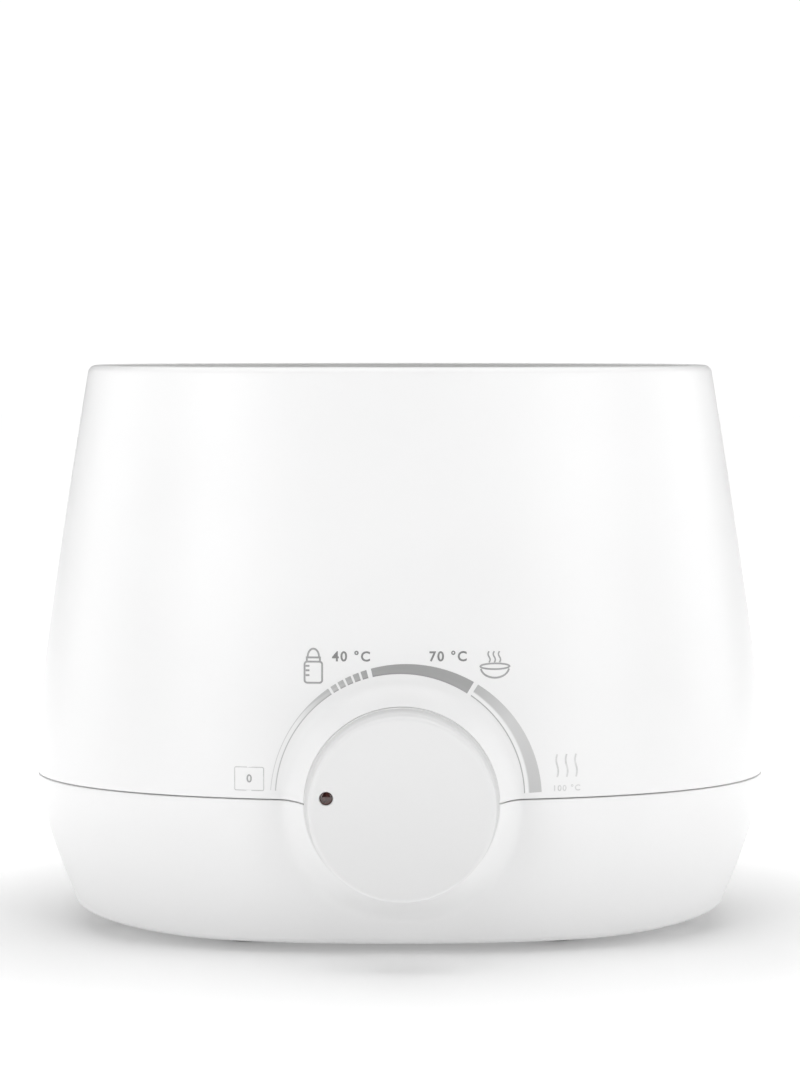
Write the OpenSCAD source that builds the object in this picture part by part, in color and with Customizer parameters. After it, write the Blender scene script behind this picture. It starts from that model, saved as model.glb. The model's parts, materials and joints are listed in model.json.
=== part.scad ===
// Two-bottle warmer: a white oval housing with a water tank, a lift-out bottle rack,
// a plate heater and a rotary thermostat behind a large front dial.
// Millimetres. +Z is up, the dial faces -Y, and the feet stand on z = 0.

/* [Housing] */
// Width of the housing at its widest height
body_w = 260; // [240:1:280]
// Depth of the housing at its widest height
body_d = 156; // [150:1:170]
// Height of the rim above the table
body_h = 200; // [198:1:206]
// Height of the widest part, just above the seam
wide_z = 57.5; // [56:0.5:60]
// Slope of the upper wall far above the widest part
upper_slope = 0.171; // [0.15:0.001:0.18]
// Slope of the lower wall far below the widest part
lower_slope = 0.45; // [0.42:0.01:0.48]
// Exponent of the oval plan, where 2 is an ellipse
plan_n = 2.3; // [2.1:0.05:2.6]
// Thickness of the moulded walls
wall = 2.6; // [2:0.1:3]
// Height of the seam between the upper and the lower shell
seam_z = 55.5; // [54:0.5:56.5]
// Width of the open line at the seam
seam_gap = 0.4; // [0.3:0.05:0.6]
// Width of the rounded lip round the mouth
lip_w = 5.8; // [5:0.1:6.5]

/* [Dial] */
// Radius of the knob
knob_r = 31; // [28:0.5:31]
// Distance of the knob's face from the front of the housing
knob_out = 19.6; // [17:0.1:22]
// Height of the flared collar round the knob
collar_out = 6.7; // [5:0.1:8]
// Angle of the pointer at the off position, counterclockwise from 3 o'clock
pointer_rest = 171; // [165:1:180]
// Distance of the pointer light from the knob's axis
pointer_r = 25.2; // [22:0.1:26]
// Radius of the pointer light
pointer_dot_r = 2.2; // [1.5:0.1:2.5]

/* [Tank and rack] */
// Height of the tank floor
tank_floor_z = 85.5; // [84:0.5:88]
// Distance of each bottle's axis from the middle
bottle_x = 46; // [45:0.5:48]
// Inner radius of each bottle cup
cup_r = 35.5; // [34:0.5:36]
// Height of the top of the bottle cups
cup_top_z = 150; // [140:1:160]
// Height of the top of the rack's handle
handle_top_z = 188; // [180:1:190]

/* [Fittings] */
// Height of the rubber feet below the housing
foot_h = 3.2; // [2:0.1:4]
// Radius of the bore for the mains lead
lead_r = 3.5; // [3:0.1:4]
// Height of the mains lead's gland
gland_z = 24; // [22:1:26]

/* [Hidden] */

$fn = 64;
ring_steps = 72;
fit = 0.2;
upper_soft = 33.5;
lower_soft = 24;
base_z = foot_h;
knob_front = body_d / 2 + knob_out;
collar_front = body_d / 2 + collar_out;
// The part's origin is the middle of its box, which reaches from the knob to the rear wall.
axis_y = (knob_front - body_d / 2) / 2;

rim_round = 2.4;
lip_round = 0.8;
lip_t = 3;
floor_t = 2.5;
base_round = 2.5;
end_lift = 4;
lift_start = 60;
lift_reach = 16;
base_flat = [70, 48, 8];
seal_t = 1.5;
seal_edge = 0.8;
flange_t = 2.4;
tank_wall = 2.2;
tank_top_z = body_h - lip_t - seal_t;
heater_hole_r = 31;
plate_flange_r = 38;
gasket_t = 1.5;
plate_t = 2.5;
tank_under_z = tank_floor_z - floor_t;
plate_z = tank_under_z - gasket_t - plate_t;
clamp_t = 1.8;
clamp_screw_r = 42.5;
clamp_angles = [35, 145, 215, 325];
element_r = 25;
element_tube_r = 3.2;
element_z = plate_z - element_tube_r - 0.05;
clip_z = plate_z - 3.6;
fuse_r = 2.2;
fuse_len = 22;
fuse_x = -14;
fuse_lead = 3;
pin_len = 14;
fuse_y = -9;
bulb_r = 3;
bulb_x = -17;
bulb_y = 7;

pocket_r = knob_r + 0.8;
collar_crest_r = pocket_r + 1;
collar_foot_r = 40.5;
collar_foot_back = 7.5;
dial_floor_y = body_d / 2 - 4;
dial_floor_t = 2;
spindle_r = 3;
spindle_flat_x = 2.2;

shell_post_x = 103;
shell_post_y = 12;
tank_post_x = 66;
tank_post_y = 22;
post_r = 5;
post_top_z = 60;
foot_x = 54;
foot_y = 34;
foot_r = 8;
foot_sink = 1;
knob_back = body_d / 2 + 2;
knob_face_t = 2.5;
knob_skirt_t = 2;
knob_round = 1.5;
knob_flange_r = knob_r + 1.4;
knob_flange_t = 1.6;
knob_flange_gap = 0.4;
hub_r = 6.5;
bracket_y = 61;
bracket_t = 1.5;
bracket_foot_z = 12.5;
bracket_screw_x = 14;
bracket_screw_y = -52;
thermostat_y = bracket_y - bracket_t;
thermostat_d = 26;
thermostat_w = 34;
bushing_r = 4.5;
terminal_x = 9;
terminal_len = 9;
terminal_y = -thermostat_y + thermostat_d + 0.05;
gland_face_y = body_d / 2 - 5.5;
gland_pad_t = 9;
gland_shank_r = 6;
gland_nut_t = 4;
gland_head_t = 2.8;
gland_shank_back = gland_pad_t + gland_nut_t + 1.5;
cup_wall = 2;
rack_z = tank_floor_z + 3;
rack_floor_t = 2.5;
slot_w = 6.4;
handle_t = 6;
block_pos = [34, 44, base_z + floor_t];
wire_r = 1.1;
led_lead_r = 0.6;
led_r = 1.5;
capillary_r = 0.9;
// Clear distance between the end of a lead and the metal it is joined to
joint_gap = 0.3;

// ---- outline of the housing ----

function rounded_slope(slope, soft, dz) = slope * (sqrt(dz * dz + soft * soft) - soft);
function half_w(z) = body_w / 2 - (z > wide_z ? rounded_slope(upper_slope, upper_soft, z - wide_z)
                                              : rounded_slope(lower_slope, lower_soft, wide_z - z));
function half_d(z) = half_w(z) - (body_w - body_d) / 2;
function spow(v, p) = sign(v) * pow(abs(v), p);
function oval(a, b, n, z) = [
    for (i = [0:ring_steps - 1])
        let (t = 360 * i / ring_steps) [a * spow(cos(t), 2 / n), b * spow(sin(t), 2 / n), z]
];
function shell_ring(inset, z) = oval(half_w(z) - inset, half_d(z) - inset, plan_n, z);

// Towards its two ends the underside sweeps up, which fades out up the wall.
function end_rise(x, z) = end_lift * pow(max(0, abs(x) - lift_start) / (half_w(base_z) - lift_start), 2)
                          * max(0, 1 - (z - base_z) / lift_reach);
function swept(p) =
    let (z = p[2] + end_rise(p[0], p[2]), k = half_w(z) / half_w(p[2])) [k * p[0], k * p[1], z];
function swept_ring(inset, z) = [for (p = shell_ring(inset, z)) swept(p)];
function flat_ring(grow, z) = oval(base_flat[0] + grow, base_flat[1] + grow, base_flat[2], z);
function levels(z1, z2, n) = [for (k = [0:n]) z1 + (z2 - z1) * k / n];

// Triangles between each ring and the next one
function ring_faces(count, closed) = [
    for (j = [0:count - (closed ? 1 : 2)], i = [0:ring_steps - 1])
        let (k = (j + 1) % count, m = (i + 1) % ring_steps,
             a = j * ring_steps + i, b = j * ring_steps + m,
             c = k * ring_steps + m, d = k * ring_steps + i)
            each [[a, d, c], [a, c, b]]
];

// A ring-shaped wall: the rings go up the outside and come down the inside.
module loop_solid(rings) {
    polyhedron(points = [for (r = rings) each r], faces = ring_faces(len(rings), true));
}

// A cup: the first ring is closed below and the last ring is closed above.
module cup_solid(rings) {
    last = (len(rings) - 1) * ring_steps;
    polyhedron(points = [for (r = rings) each r],
               faces = concat(ring_faces(len(rings), false),
                              [[for (i = [0:ring_steps - 1]) i]],
                              [[for (i = [ring_steps - 1:-1:0]) last + i]]));
}

// Everything is drawn about the housing's own axis and moved to the part's origin.
module placed() {
    translate([0, axis_y, 0]) children();
}

// A shape drawn with its axis along +Z, turned so that it points forward from the dial's axis
module along_dial(y) {
    translate([0, -y, seam_z]) rotate([90, 0, 0]) children();
}

module at_corners(x, y) {
    for (sx = [-1, 1], sy = [-1, 1]) translate([sx * x, sy * y, 0]) children();
}

module tube(r_out, r_in, h) {
    difference() {
        cylinder(r = r_out, h = h);
        translate([0, 0, -1]) cylinder(r = r_in, h = h + 2);
    }
}

// A pan-head screw with its head down, its shank reaching up
module screw(head_r, head_h, shank_r, length) {
    difference() {
        cylinder(r = head_r, h = head_h);
        for (a = [0, 90]) rotate(a) translate([-head_r * 0.7, -0.5, -1])
            cube([head_r * 1.4, 1, 1 + head_h * 0.5]);
    }
    translate([0, 0, head_h]) cylinder(r = shank_r, h = length);
}

// ---- dial collar, shared by the two shells ----

// Half of the flared collar with the pocket's floor: start is 0 for the upper half.
module collar_half(start) {
    front = collar_front;
    back = body_d / 2 - 14;
    along_dial(0) rotate(start) rotate_extrude(angle = 180)
        polygon([
            [spindle_r + 4, dial_floor_y - dial_floor_t], [spindle_r + 4, dial_floor_y],
            [pocket_r, dial_floor_y], [pocket_r, front], [collar_crest_r, front],
            for (t = [15:15:75]) [collar_foot_r - (collar_foot_r - collar_crest_r) * cos(t),
                                  front - collar_foot_back * sin(t)],
            [collar_foot_r, front - collar_foot_back - 0.3],
            [collar_foot_r + 2.5, front - collar_foot_back - 5], [collar_foot_r + 4, back],
            [pocket_r + 3, back], [pocket_r + 3, dial_floor_y - dial_floor_t]
        ]);
}

module dial_opening() {
    along_dial(body_d / 2 - 16) cylinder(r = pocket_r + 2, h = 30);
}

// ---- shells ----

module upper_shell() {
    bottom = seam_z + seam_gap / 2;
    wall_top = body_h - rim_round;
    color("white") placed() difference() {
        union() {
            difference() {
                loop_solid(concat(
                    [for (z = levels(bottom, wall_top, 8)) shell_ring(0, z)],
                    [for (t = [30:30:90])
                        shell_ring(rim_round * (1 - cos(t)), wall_top + rim_round * sin(t))],
                    [for (t = [0:30:90])
                        shell_ring(lip_w - lip_round * (1 - sin(t)),
                                   body_h - lip_round * (1 - cos(t)))],
                    [shell_ring(lip_w, body_h - lip_t)],
                    [for (z = levels(body_h - lip_t, bottom, 6)) shell_ring(wall, z)]
                ));
                dial_opening();
            }
            translate([0, 0, seam_gap / 2]) collar_half(0);
            at_corners(shell_post_x, shell_post_y)
                translate([0, 0, post_top_z + fit]) cylinder(r = post_r, h = 20);
            for (a = [0, 180], y = [-shell_post_y, shell_post_y])
                rotate(a) translate([shell_post_x + 1, y - 1, post_top_z + fit])
                    cube([body_w / 2 - shell_post_x - 4, 2, 20]);
        }
        at_corners(shell_post_x, shell_post_y)
            translate([0, 0, post_top_z - 1]) cylinder(r = 1.7, h = 18);
        along_dial(dial_floor_y - 3) translate([0, pointer_r, 0]) cylinder(r = 1.8, h = 5);
    }
}

module lower_shell() {
    top = seam_z - seam_gap / 2;
    color("white") placed() difference() {
        union() {
            difference() {
                cup_solid(concat(
                    [flat_ring(0, base_z)],
                    [for (t = [0:30:60])
                        swept_ring(base_round * (1 - sin(t)),
                                   base_z + base_round * (1 - cos(t)))],
                    [for (z = levels(base_z + base_round, top, 7)) swept_ring(0, z)],
                    [shell_ring(wall + fit, top), shell_ring(wall + fit, top + 3),
                     shell_ring(wall + 1.4, top + 3), shell_ring(wall + 1.4, top - 6),
                     shell_ring(wall, top - 8)],
                    [for (z = levels(top - 12, base_z + floor_t + 1, 5)) swept_ring(wall, z)],
                    [swept_ring(wall + 1, base_z + floor_t), flat_ring(0, base_z + floor_t)]
                ));
                dial_opening();
                // the tongue stops short of the collar
                translate([-48, -body_d / 2, top]) cube([96, 30, 5]);
            }
            translate([0, 0, -seam_gap / 2]) collar_half(180);
            at_corners(shell_post_x, shell_post_y) translate([0, 0, base_z + end_lift])
                cylinder(r = post_r, h = post_top_z - base_z - end_lift);
            at_corners(tank_post_x, tank_post_y)
                translate([0, 0, base_z + 1]) cylinder(r = post_r, h = post_top_z - base_z - 1);
            for (s = [-1, 1]) translate([s * bracket_screw_x, bracket_screw_y, base_z + 1])
                cylinder(r = 4, h = bracket_foot_z - base_z - 1);
            translate([0, gland_face_y, gland_z]) rotate([90, 0, 0])
                cylinder(r = 11, h = gland_pad_t);
        }
        for (x = [shell_post_x, tank_post_x], sx = [-1, 1], sy = [-1, 1])
            translate([sx * x, sy * (x == shell_post_x ? shell_post_y : tank_post_y), 0]) {
                cylinder(r = 3.9, h = 36);
                cylinder(r = 2.2, h = post_top_z + 1);
            }
        for (s = [-1, 1]) translate([s * bracket_screw_x, bracket_screw_y, base_z + 3])
            cylinder(r = 1.3, h = 10);
        at_corners(foot_x, foot_y) {
            cylinder(r = foot_r + fit, h = base_z + foot_sink);
            cylinder(r = 2.5, h = 10);
        }
        // flat pad and hole for the gland
        translate([0, gland_face_y + 10, gland_z]) rotate([90, 0, 0]) cylinder(r = 10.5, h = 10);
        translate([0, gland_face_y + 5, gland_z]) rotate([90, 0, 0])
            cylinder(r = gland_shank_r + 0.1, h = 20);
        // vents
        for (x = [-40:10:40]) translate([x - 1.5, -22, 0]) cube([3, 44, 10]);
    }
}

// ---- tank ----

function tank_t(z) = (z - tank_floor_z) / (tank_top_z - tank_floor_z);
function tank_n(z) = 2.7 + (plan_n - 2.7) * min(1, max(0, tank_t(z)));
function tank_a(z) = 92.5 + (half_w(tank_top_z) - lip_w - 0.6 - 92.5) * pow(max(0, tank_t(z)), 1.2);
function tank_b(z) = tank_a(z) - (body_w - body_d) / 2 + 5.5 * (1 - min(1, max(0, tank_t(z))));
function tank_ring(grow, z) = oval(tank_a(z) + grow, tank_b(z) + grow, tank_n(z), z);

module tank() {
    top_a = half_w(tank_top_z) - wall - 0.8;
    top_b = half_d(tank_top_z) - wall - 0.8;
    under = tank_top_z - flange_t;
    low = tank_floor_z + 5;
    color("whitesmoke") placed() difference() {
        union() {
            loop_solid(concat(
                [oval(heater_hole_r, heater_hole_r, 2, tank_under_z),
                 oval(37, 36, 2, tank_under_z),
                 oval(tank_a(low) - 5, tank_b(low) - 5, 2.7, tank_under_z),
                 oval(tank_a(low) - 0.3, tank_b(low) - 0.3, 2.7, tank_under_z + 2)],
                [for (z = levels(low, under, 6)) tank_ring(tank_wall, z)],
                [oval(top_a, top_b, plan_n, under), oval(top_a, top_b, plan_n, tank_top_z)],
                [for (z = levels(tank_top_z, low, 6)) tank_ring(0, z)],
                [oval(tank_a(low) - 1.5, tank_b(low) - 1.5, 2.7, tank_floor_z + 1.5),
                 oval(tank_a(low) - 5, tank_b(low) - 5, 2.7, tank_floor_z),
                 oval(36, 35, 2, tank_floor_z),
                 oval(heater_hole_r, heater_hole_r, 2, tank_floor_z)]
            ));
            for (a = clamp_angles) rotate(a) translate([clamp_screw_r, 0, plate_z])
                cylinder(r = 4, h = tank_under_z - plate_z + 1);
            at_corners(tank_post_x, tank_post_y) translate([0, 0, post_top_z + fit])
                cylinder(r = post_r, h = tank_under_z - post_top_z + 0.8);
        }
        for (a = clamp_angles) rotate(a) translate([clamp_screw_r, 0, plate_z - 1])
            cylinder(r = 1.3, h = 5);
        at_corners(tank_post_x, tank_post_y) translate([0, 0, post_top_z - 1])
            cylinder(r = 1.7, h = 18);
    }
}

// A flat seal under the lip, with a thin edge that stands up inside the lip
module rim_seal() {
    low = tank_top_z + 0.05;
    high = tank_top_z + seal_t - 0.05;
    color("white") placed() loop_solid([
        shell_ring(wall + 1, low), shell_ring(wall + 1, high),
        shell_ring(lip_w + 0.05, high), shell_ring(lip_w + 0.05, body_h - 0.3),
        shell_ring(lip_w + 0.3, body_h - 0.05), shell_ring(lip_w + seal_edge - 0.25, body_h - 0.05),
        shell_ring(lip_w + seal_edge, body_h - 0.3), shell_ring(lip_w + seal_edge, low)
    ]);
}

// ---- heater ----

module heater_plate() {
    color("silver") placed() rotate_extrude() polygon([
        [0, plate_z], [plate_flange_r, plate_z], [plate_flange_r, plate_z + plate_t],
        [30.4, plate_z + plate_t], [30.4, tank_floor_z - 0.4], [30, tank_floor_z],
        [24, tank_floor_z], [23.5, tank_floor_z - 0.5], [9, tank_floor_z - 0.5],
        [8.5, tank_floor_z], [0, tank_floor_z]
    ]);
}

module heater_gasket() {
    color("lightgrey") placed() translate([0, 0, plate_z + plate_t])
        tube(plate_flange_r, 30.6, gasket_t);
}

module heater_clamp_ring() {
    color("silver") placed() translate([0, 0, plate_z - clamp_t - 0.05]) difference() {
        union() {
            cylinder(r = plate_flange_r, h = clamp_t);
            for (a = clamp_angles) rotate(a) {
                translate([30, -5, 0]) cube([clamp_screw_r - 30, 10, clamp_t]);
                translate([clamp_screw_r, 0, 0]) cylinder(r = 5, h = clamp_t);
            }
        }
        translate([0, 0, -1]) cylinder(r = 29.5, h = clamp_t + 2);
        for (a = clamp_angles) rotate(a) translate([clamp_screw_r, 0, -1])
            cylinder(r = 1.8, h = clamp_t + 2);
    }
}

module clamp_screws() {
    z = plate_z - clamp_t - 0.1;
    color("silver") placed() for (a = clamp_angles) rotate(a)
        translate([clamp_screw_r, 0, z - 2]) screw(3, 2, 1.2, 5);
}

module heating_element() {
    color("dimgrey") placed() translate([0, 0, element_z]) rotate(120)
        rotate_extrude(angle = 300) translate([element_r, 0]) circle(r = element_tube_r);
}

function element_end(s) = [element_r * cos(90 + s * 27), element_r * sin(90 + s * 27)];

module element_pins() {
    color("goldenrod") placed() for (s = [-1, 1])
        translate([element_end(s)[0], element_end(s)[1], element_z]) {
            translate([0, 0, -8]) cylinder(r = 1.2, h = 8);
            translate([-3, -0.4, -pin_len]) cube([6, 0.8, 6]);
        }
}

module thermal_fuse() {
    color("white") placed() translate([fuse_x, fuse_y, clip_z]) rotate([0, 90, 0]) {
        cylinder(r = fuse_r, h = fuse_len);
        translate([0, 0, -fuse_lead]) cylinder(r = 0.5, h = fuse_len + 2 * fuse_lead);
    }
}

// A strap that wraps under a round part, with two ears against the plate
module clip(r, w) {
    difference() {
        union() {
            rotate([0, 90, 0]) cylinder(r = r + 0.9, h = w);
            translate([0, -r - 0.9, 0]) cube([w, 2 * r + 1.8, plate_z - clip_z - 0.1]);
        }
        translate([-1, 0, 0]) rotate([0, 90, 0]) cylinder(r = r + 0.1, h = w + 2);
        translate([-1, -r - 0.1, 0]) cube([w + 2, 2 * r + 0.2, 5]);
    }
    for (s = [-1, 1]) translate([0, s > 0 ? r + 0.8 : -r - 4.8, plate_z - clip_z - 0.9])
        cube([w, 4, 0.8]);
}

module fuse_clip() {
    color("silver") placed() translate([-6, fuse_y, clip_z]) clip(fuse_r, 6);
}

module sensor_bulb() {
    color("peru") placed() translate([bulb_x, bulb_y, clip_z]) rotate([0, 90, 0])
        cylinder(r = bulb_r, h = 34);
}

module bulb_clip() {
    color("silver") placed() translate([-4, bulb_y, clip_z]) clip(bulb_r, 8);
}

// ---- thermostat and dial ----

module thermostat_body() {
    color("ivory") placed() along_dial(0) difference() {
        union() {
            translate([-thermostat_w / 2, -15, thermostat_y - thermostat_d])
                cube([thermostat_w, 30, thermostat_d]);
            translate([0, 0, thermostat_y - 1]) cylinder(r = bushing_r, h = 10);
        }
        translate([0, 0, thermostat_y - 12]) cylinder(r = spindle_r + 0.05, h = 40);
    }
}

module thermostat_terminals() {
    color("goldenrod") placed() for (s = [-1, 1])
        translate([s * terminal_x - 3.2, terminal_y, seam_z - 0.4]) cube([6.4, terminal_len, 0.8]);
}

module thermostat_bracket() {
    color("silver") placed() difference() {
        union() {
            translate([-20, -bracket_y, bracket_foot_z]) cube([40, bracket_t, 62]);
            translate([-20, -bracket_y, bracket_foot_z]) cube([40, 17, bracket_t]);
        }
        along_dial(bracket_y - 3) cylinder(r = bushing_r + 0.2, h = 6);
        for (s = [-1, 1]) translate([s * bracket_screw_x, bracket_screw_y, 0])
            cylinder(r = 1.7, h = 30);
    }
}

module bushing_nut() {
    color("silver") placed() along_dial(bracket_y + 0.05) difference() {
        cylinder(r = 8, h = 3, $fn = 6);
        translate([0, 0, -1]) cylinder(r = bushing_r + 0.1, h = 5);
    }
}

module bracket_screws() {
    color("silver") placed() for (s = [-1, 1])
        translate([s * bracket_screw_x, bracket_screw_y, bracket_foot_z + bracket_t + 2.05])
            mirror([0, 0, 1]) screw(2.8, 2, 1.2, 7);
}

module spindle() {
    color("silver") placed() along_dial(0) rotate(pointer_rest - 180) difference() {
        translate([0, 0, thermostat_y - 11])
            cylinder(r = spindle_r, h = knob_front - thermostat_y + 4);
        translate([spindle_flat_x, -5, bracket_y + 14]) cube([5, 10, 40]);
    }
}

module knob() {
    face = knob_front;
    inner = face - knob_face_t;
    flange = collar_front + knob_flange_gap;
    color("whitesmoke") placed() along_dial(0) rotate(pointer_rest - 180) difference() {
        union() {
            // the small flange lies over the collar's crest and hides the gap round the knob
            rotate_extrude() polygon([
                [0, face], [knob_r - knob_round, face],
                for (t = [15:15:90]) [knob_r - knob_round * (1 - sin(t)),
                                      face - knob_round * (1 - cos(t))],
                [knob_r, flange + knob_flange_t + 1.4],
                [knob_flange_r - 0.4, flange + knob_flange_t],
                [knob_flange_r, flange + knob_flange_t - 0.4], [knob_flange_r, flange],
                [knob_r, flange], [knob_r, knob_back], [knob_r - knob_skirt_t, knob_back],
                [knob_r - knob_skirt_t - 0.5, inner], [0, inner]
            ]);
            translate([0, 0, dial_floor_y + 1]) cylinder(r = hub_r, h = inner - dial_floor_y);
            for (a = [45:90:315]) rotate(a) translate([5, -0.75, knob_back + 3])
                cube([knob_r - 6.5, 1.5, inner - knob_back - 2]);
            translate([-pointer_r, 0, inner - 8]) cylinder(r = pointer_dot_r + 1.6, h = 9);
        }
        difference() {
            translate([0, 0, dial_floor_y - 1])
                cylinder(r = spindle_r + 0.05, h = face - 5.4 - dial_floor_y);
            translate([spindle_flat_x + 0.05, -5, dial_floor_y - 2]) cube([5, 10, 40]);
        }
        translate([-pointer_r, 0, knob_back]) cylinder(r = pointer_dot_r + 0.05, h = 40);
    }
}

module hub_ring() {
    color("silver") placed() along_dial(dial_floor_y + 2) tube(hub_r + 0.8, hub_r + 0.05, 4);
}

module pointer_lens() {
    color("darkred") placed() along_dial(0) rotate(pointer_rest - 180)
        translate([-pointer_r, 0, knob_back])
            cylinder(r = pointer_dot_r, h = knob_front - knob_back - 0.1);
}

module light_ring() {
    color("white") placed() along_dial(dial_floor_y + 0.05)
        tube(pointer_r + 2.6, pointer_r - 2.6, 3);
}

module led_board() {
    color("green") placed() along_dial(dial_floor_y - dial_floor_t - 1.7)
        translate([-9, pointer_r - 6, 0]) cube([18, 11, 1.6]);
}

module led() {
    color("white") placed() along_dial(dial_floor_y - dial_floor_t - 0.1)
        translate([0, pointer_r, 0]) rotate_extrude() polygon([
            [0, 0.05], [led_r, 0.05], for (t = [0:15:90]) [led_r * cos(t), 0.6 + led_r * sin(t)]
        ]);
}

// ---- fasteners, feet, gland and wiring ----

module shell_screws() {
    color("silver") placed() at_corners(shell_post_x, shell_post_y)
        translate([0, 0, 33.9]) screw(3.6, 2, 1.6, 38);
}

module tank_screws() {
    color("silver") placed() at_corners(tank_post_x, tank_post_y)
        translate([0, 0, 33.9]) screw(3.6, 2, 1.6, 38);
}

module foot(sx, sy) {
    color("dimgrey") placed() translate([sx * foot_x, sy * foot_y, 0]) rotate_extrude() polygon([
        [0, 0], [foot_r - 1, 0], [foot_r, 1], [foot_r, base_z + foot_sink - 0.05],
        [2.3, base_z + foot_sink - 0.05], [2.3, base_z + floor_t + 0.2],
        [3.2, base_z + floor_t + 0.4], [2.3, base_z + floor_t + 3], [0, base_z + floor_t + 3]
    ]);
}

module along_gland(y) {
    translate([0, gland_face_y + y, gland_z]) rotate([-90, 0, 0]) children();
}

module cord_gland() {
    color("dimgrey") placed() difference() {
        union() {
            along_gland(0.05) cylinder(r = 9, h = gland_head_t);
            along_gland(-gland_shank_back) cylinder(r = gland_shank_r, h = gland_shank_back + 1);
        }
        along_gland(-gland_shank_back - 1) cylinder(r = lead_r, h = gland_shank_back + 6);
    }
}

module gland_nut() {
    color("dimgrey") placed() along_gland(-gland_pad_t - gland_nut_t - 0.1) difference() {
        cylinder(r = 9.5, h = gland_nut_t, $fn = 6);
        translate([0, 0, -1]) cylinder(r = gland_shank_r + 0.05, h = gland_nut_t + 2);
    }
}

module terminal_block() {
    color("ivory") placed() translate(block_pos) difference() {
        translate([-15, -8, 0.05]) cube([30, 16, 14]);
        for (x = [-8, 8]) {
            translate([x, 0, 8]) cylinder(r = 2.4, h = 7);
            translate([x, 9, 6]) rotate([90, 0, 0]) cylinder(r = 2, h = 18);
        }
    }
}

module terminal_screws() {
    color("goldenrod") placed() translate(block_pos) for (x = [-8, 8])
        translate([x, 0, 8.6]) difference() {
            cylinder(r = 2.2, h = 4);
            translate([-3, -0.4, 3]) cube([6, 0.8, 2]);
        }
}

function smooth_at(p, i, t) =
    let (n = len(p) - 1, a = p[max(0, i - 1)], b = p[i], c = p[min(n, i + 1)], d = p[min(n, i + 2)])
        0.5 * (2 * b + (c - a) * t + (2 * a - 5 * b + 4 * c - d) * t * t
               + (3 * b - a - 3 * c + d) * t * t * t);
function smooth_path(p, per) = concat(
    [for (i = [0:len(p) - 2], k = [0:per - 1]) smooth_at(p, i, k / per)], [p[len(p) - 1]]);
function unit(v) = v / norm(v);
function tangent(p, i) = unit(p[min(len(p) - 1, i + 1)] - p[max(0, i - 1)]);
function side(t) = unit(cross(t, abs(t[2]) < 0.8 ? [0, 0, 1] : [0, 1, 0]));

// A round lead swept along a path. Its sides start from the same direction on every ring.
module lead(points, r, per = 4, sides = 8) {
    p = smooth_path(points, per);
    n = len(p);
    seed = side(tangent(p, 0));
    rings = [for (i = [0:n - 1])
        let (t = tangent(p, i), u = unit(seed - (seed * t) * t), v = cross(t, u))
            [for (k = [0:sides - 1]) p[i] + r * (cos(360 * k / sides) * u + sin(360 * k / sides) * v)]];
    polyhedron(points = [for (q = rings) each q], faces = concat(
        [for (j = [0:n - 2], k = [0:sides - 1])
            let (m = (k + 1) % sides, a = j * sides + k, b = j * sides + m,
                 c = (j + 1) * sides + m, d = (j + 1) * sides + k)
                each [[a, d, c], [a, c, b]]],
        [[for (k = [0:sides - 1]) k]],
        [[for (k = [sides - 1:-1:0]) (n - 1) * sides + k]]));
}

function pin_at(s, z) = [element_end(s)[0], element_end(s)[1], z];
terminal_end_y = terminal_y + terminal_len + joint_gap;
wire_end_z = element_z - pin_len - joint_gap;

module wire_neutral() {
    color("blue") placed() lead([[42, 36, 12], [42, 28, 13], [46, 20, 28], [40, 16, 50],
        [24, 21, 56], pin_at(-1, 58), pin_at(-1, wire_end_z)], wire_r);
}

module wire_live() {
    color("saddlebrown") placed() lead([[26, 36, 12], [26, 26, 13], [27, 8, 24], [20, -10, 42],
        [terminal_x, -17, seam_z], [terminal_x, terminal_end_y, seam_z]], wire_r);
}

module wire_fuse() {
    color("saddlebrown") placed() lead([[-terminal_x, terminal_end_y, seam_z],
        [-terminal_x, -17, seam_z], [-14, -12, 62], [-19, fuse_y, 70], [-18.9, fuse_y, 73.4],
        [fuse_x - fuse_lead - joint_gap, fuse_y, clip_z]], wire_r);
}

module wire_heater() {
    color("saddlebrown") placed() lead([
        [fuse_x + fuse_len + fuse_lead + joint_gap, fuse_y, clip_z], [12.8, fuse_y, 73.6], [13, -6, 70],
        [11, 4, 62], [0, 15, 56], [-9, 21, 57], pin_at(1, 58), pin_at(1, wire_end_z)], wire_r);
}

module led_leads() {
    z = seam_z + pointer_r - 2;
    color("orangered") placed() {
        lead([[-4, -70.2, z], [-4, -64, z - 1], [-7, -50, 77], [-terminal_x, -36, 76],
            [-terminal_x, -29, 70], [-terminal_x, -28, 60],
            [-terminal_x, -28, seam_z + 0.5]], led_lead_r);
        lead([[4, -70.2, z], [4, -64, z - 1], [9, -50, 77], [18, -34, 74], [24, -14, 67],
            [24, 8, 63], [17, 17, 64], [13.5, 20, 65],
            [element_end(-1)[0] + 0.4, element_end(-1)[1] - 1.1, 65.5]], led_lead_r);
    }
}

module capillary_tube() {
    color("peru") placed() lead([[bulb_x - joint_gap, bulb_y, clip_z], [-19, bulb_y, 74.8],
        [-20.4, 6.4, 71.5], [-24, 0, 66], [-30, -14, 56], [-30, -30, 46], [-24, -42, 45],
        [-thermostat_w / 2 - joint_gap, -46, 46]],
        capillary_r);
}

// ---- bottle rack ----

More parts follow.
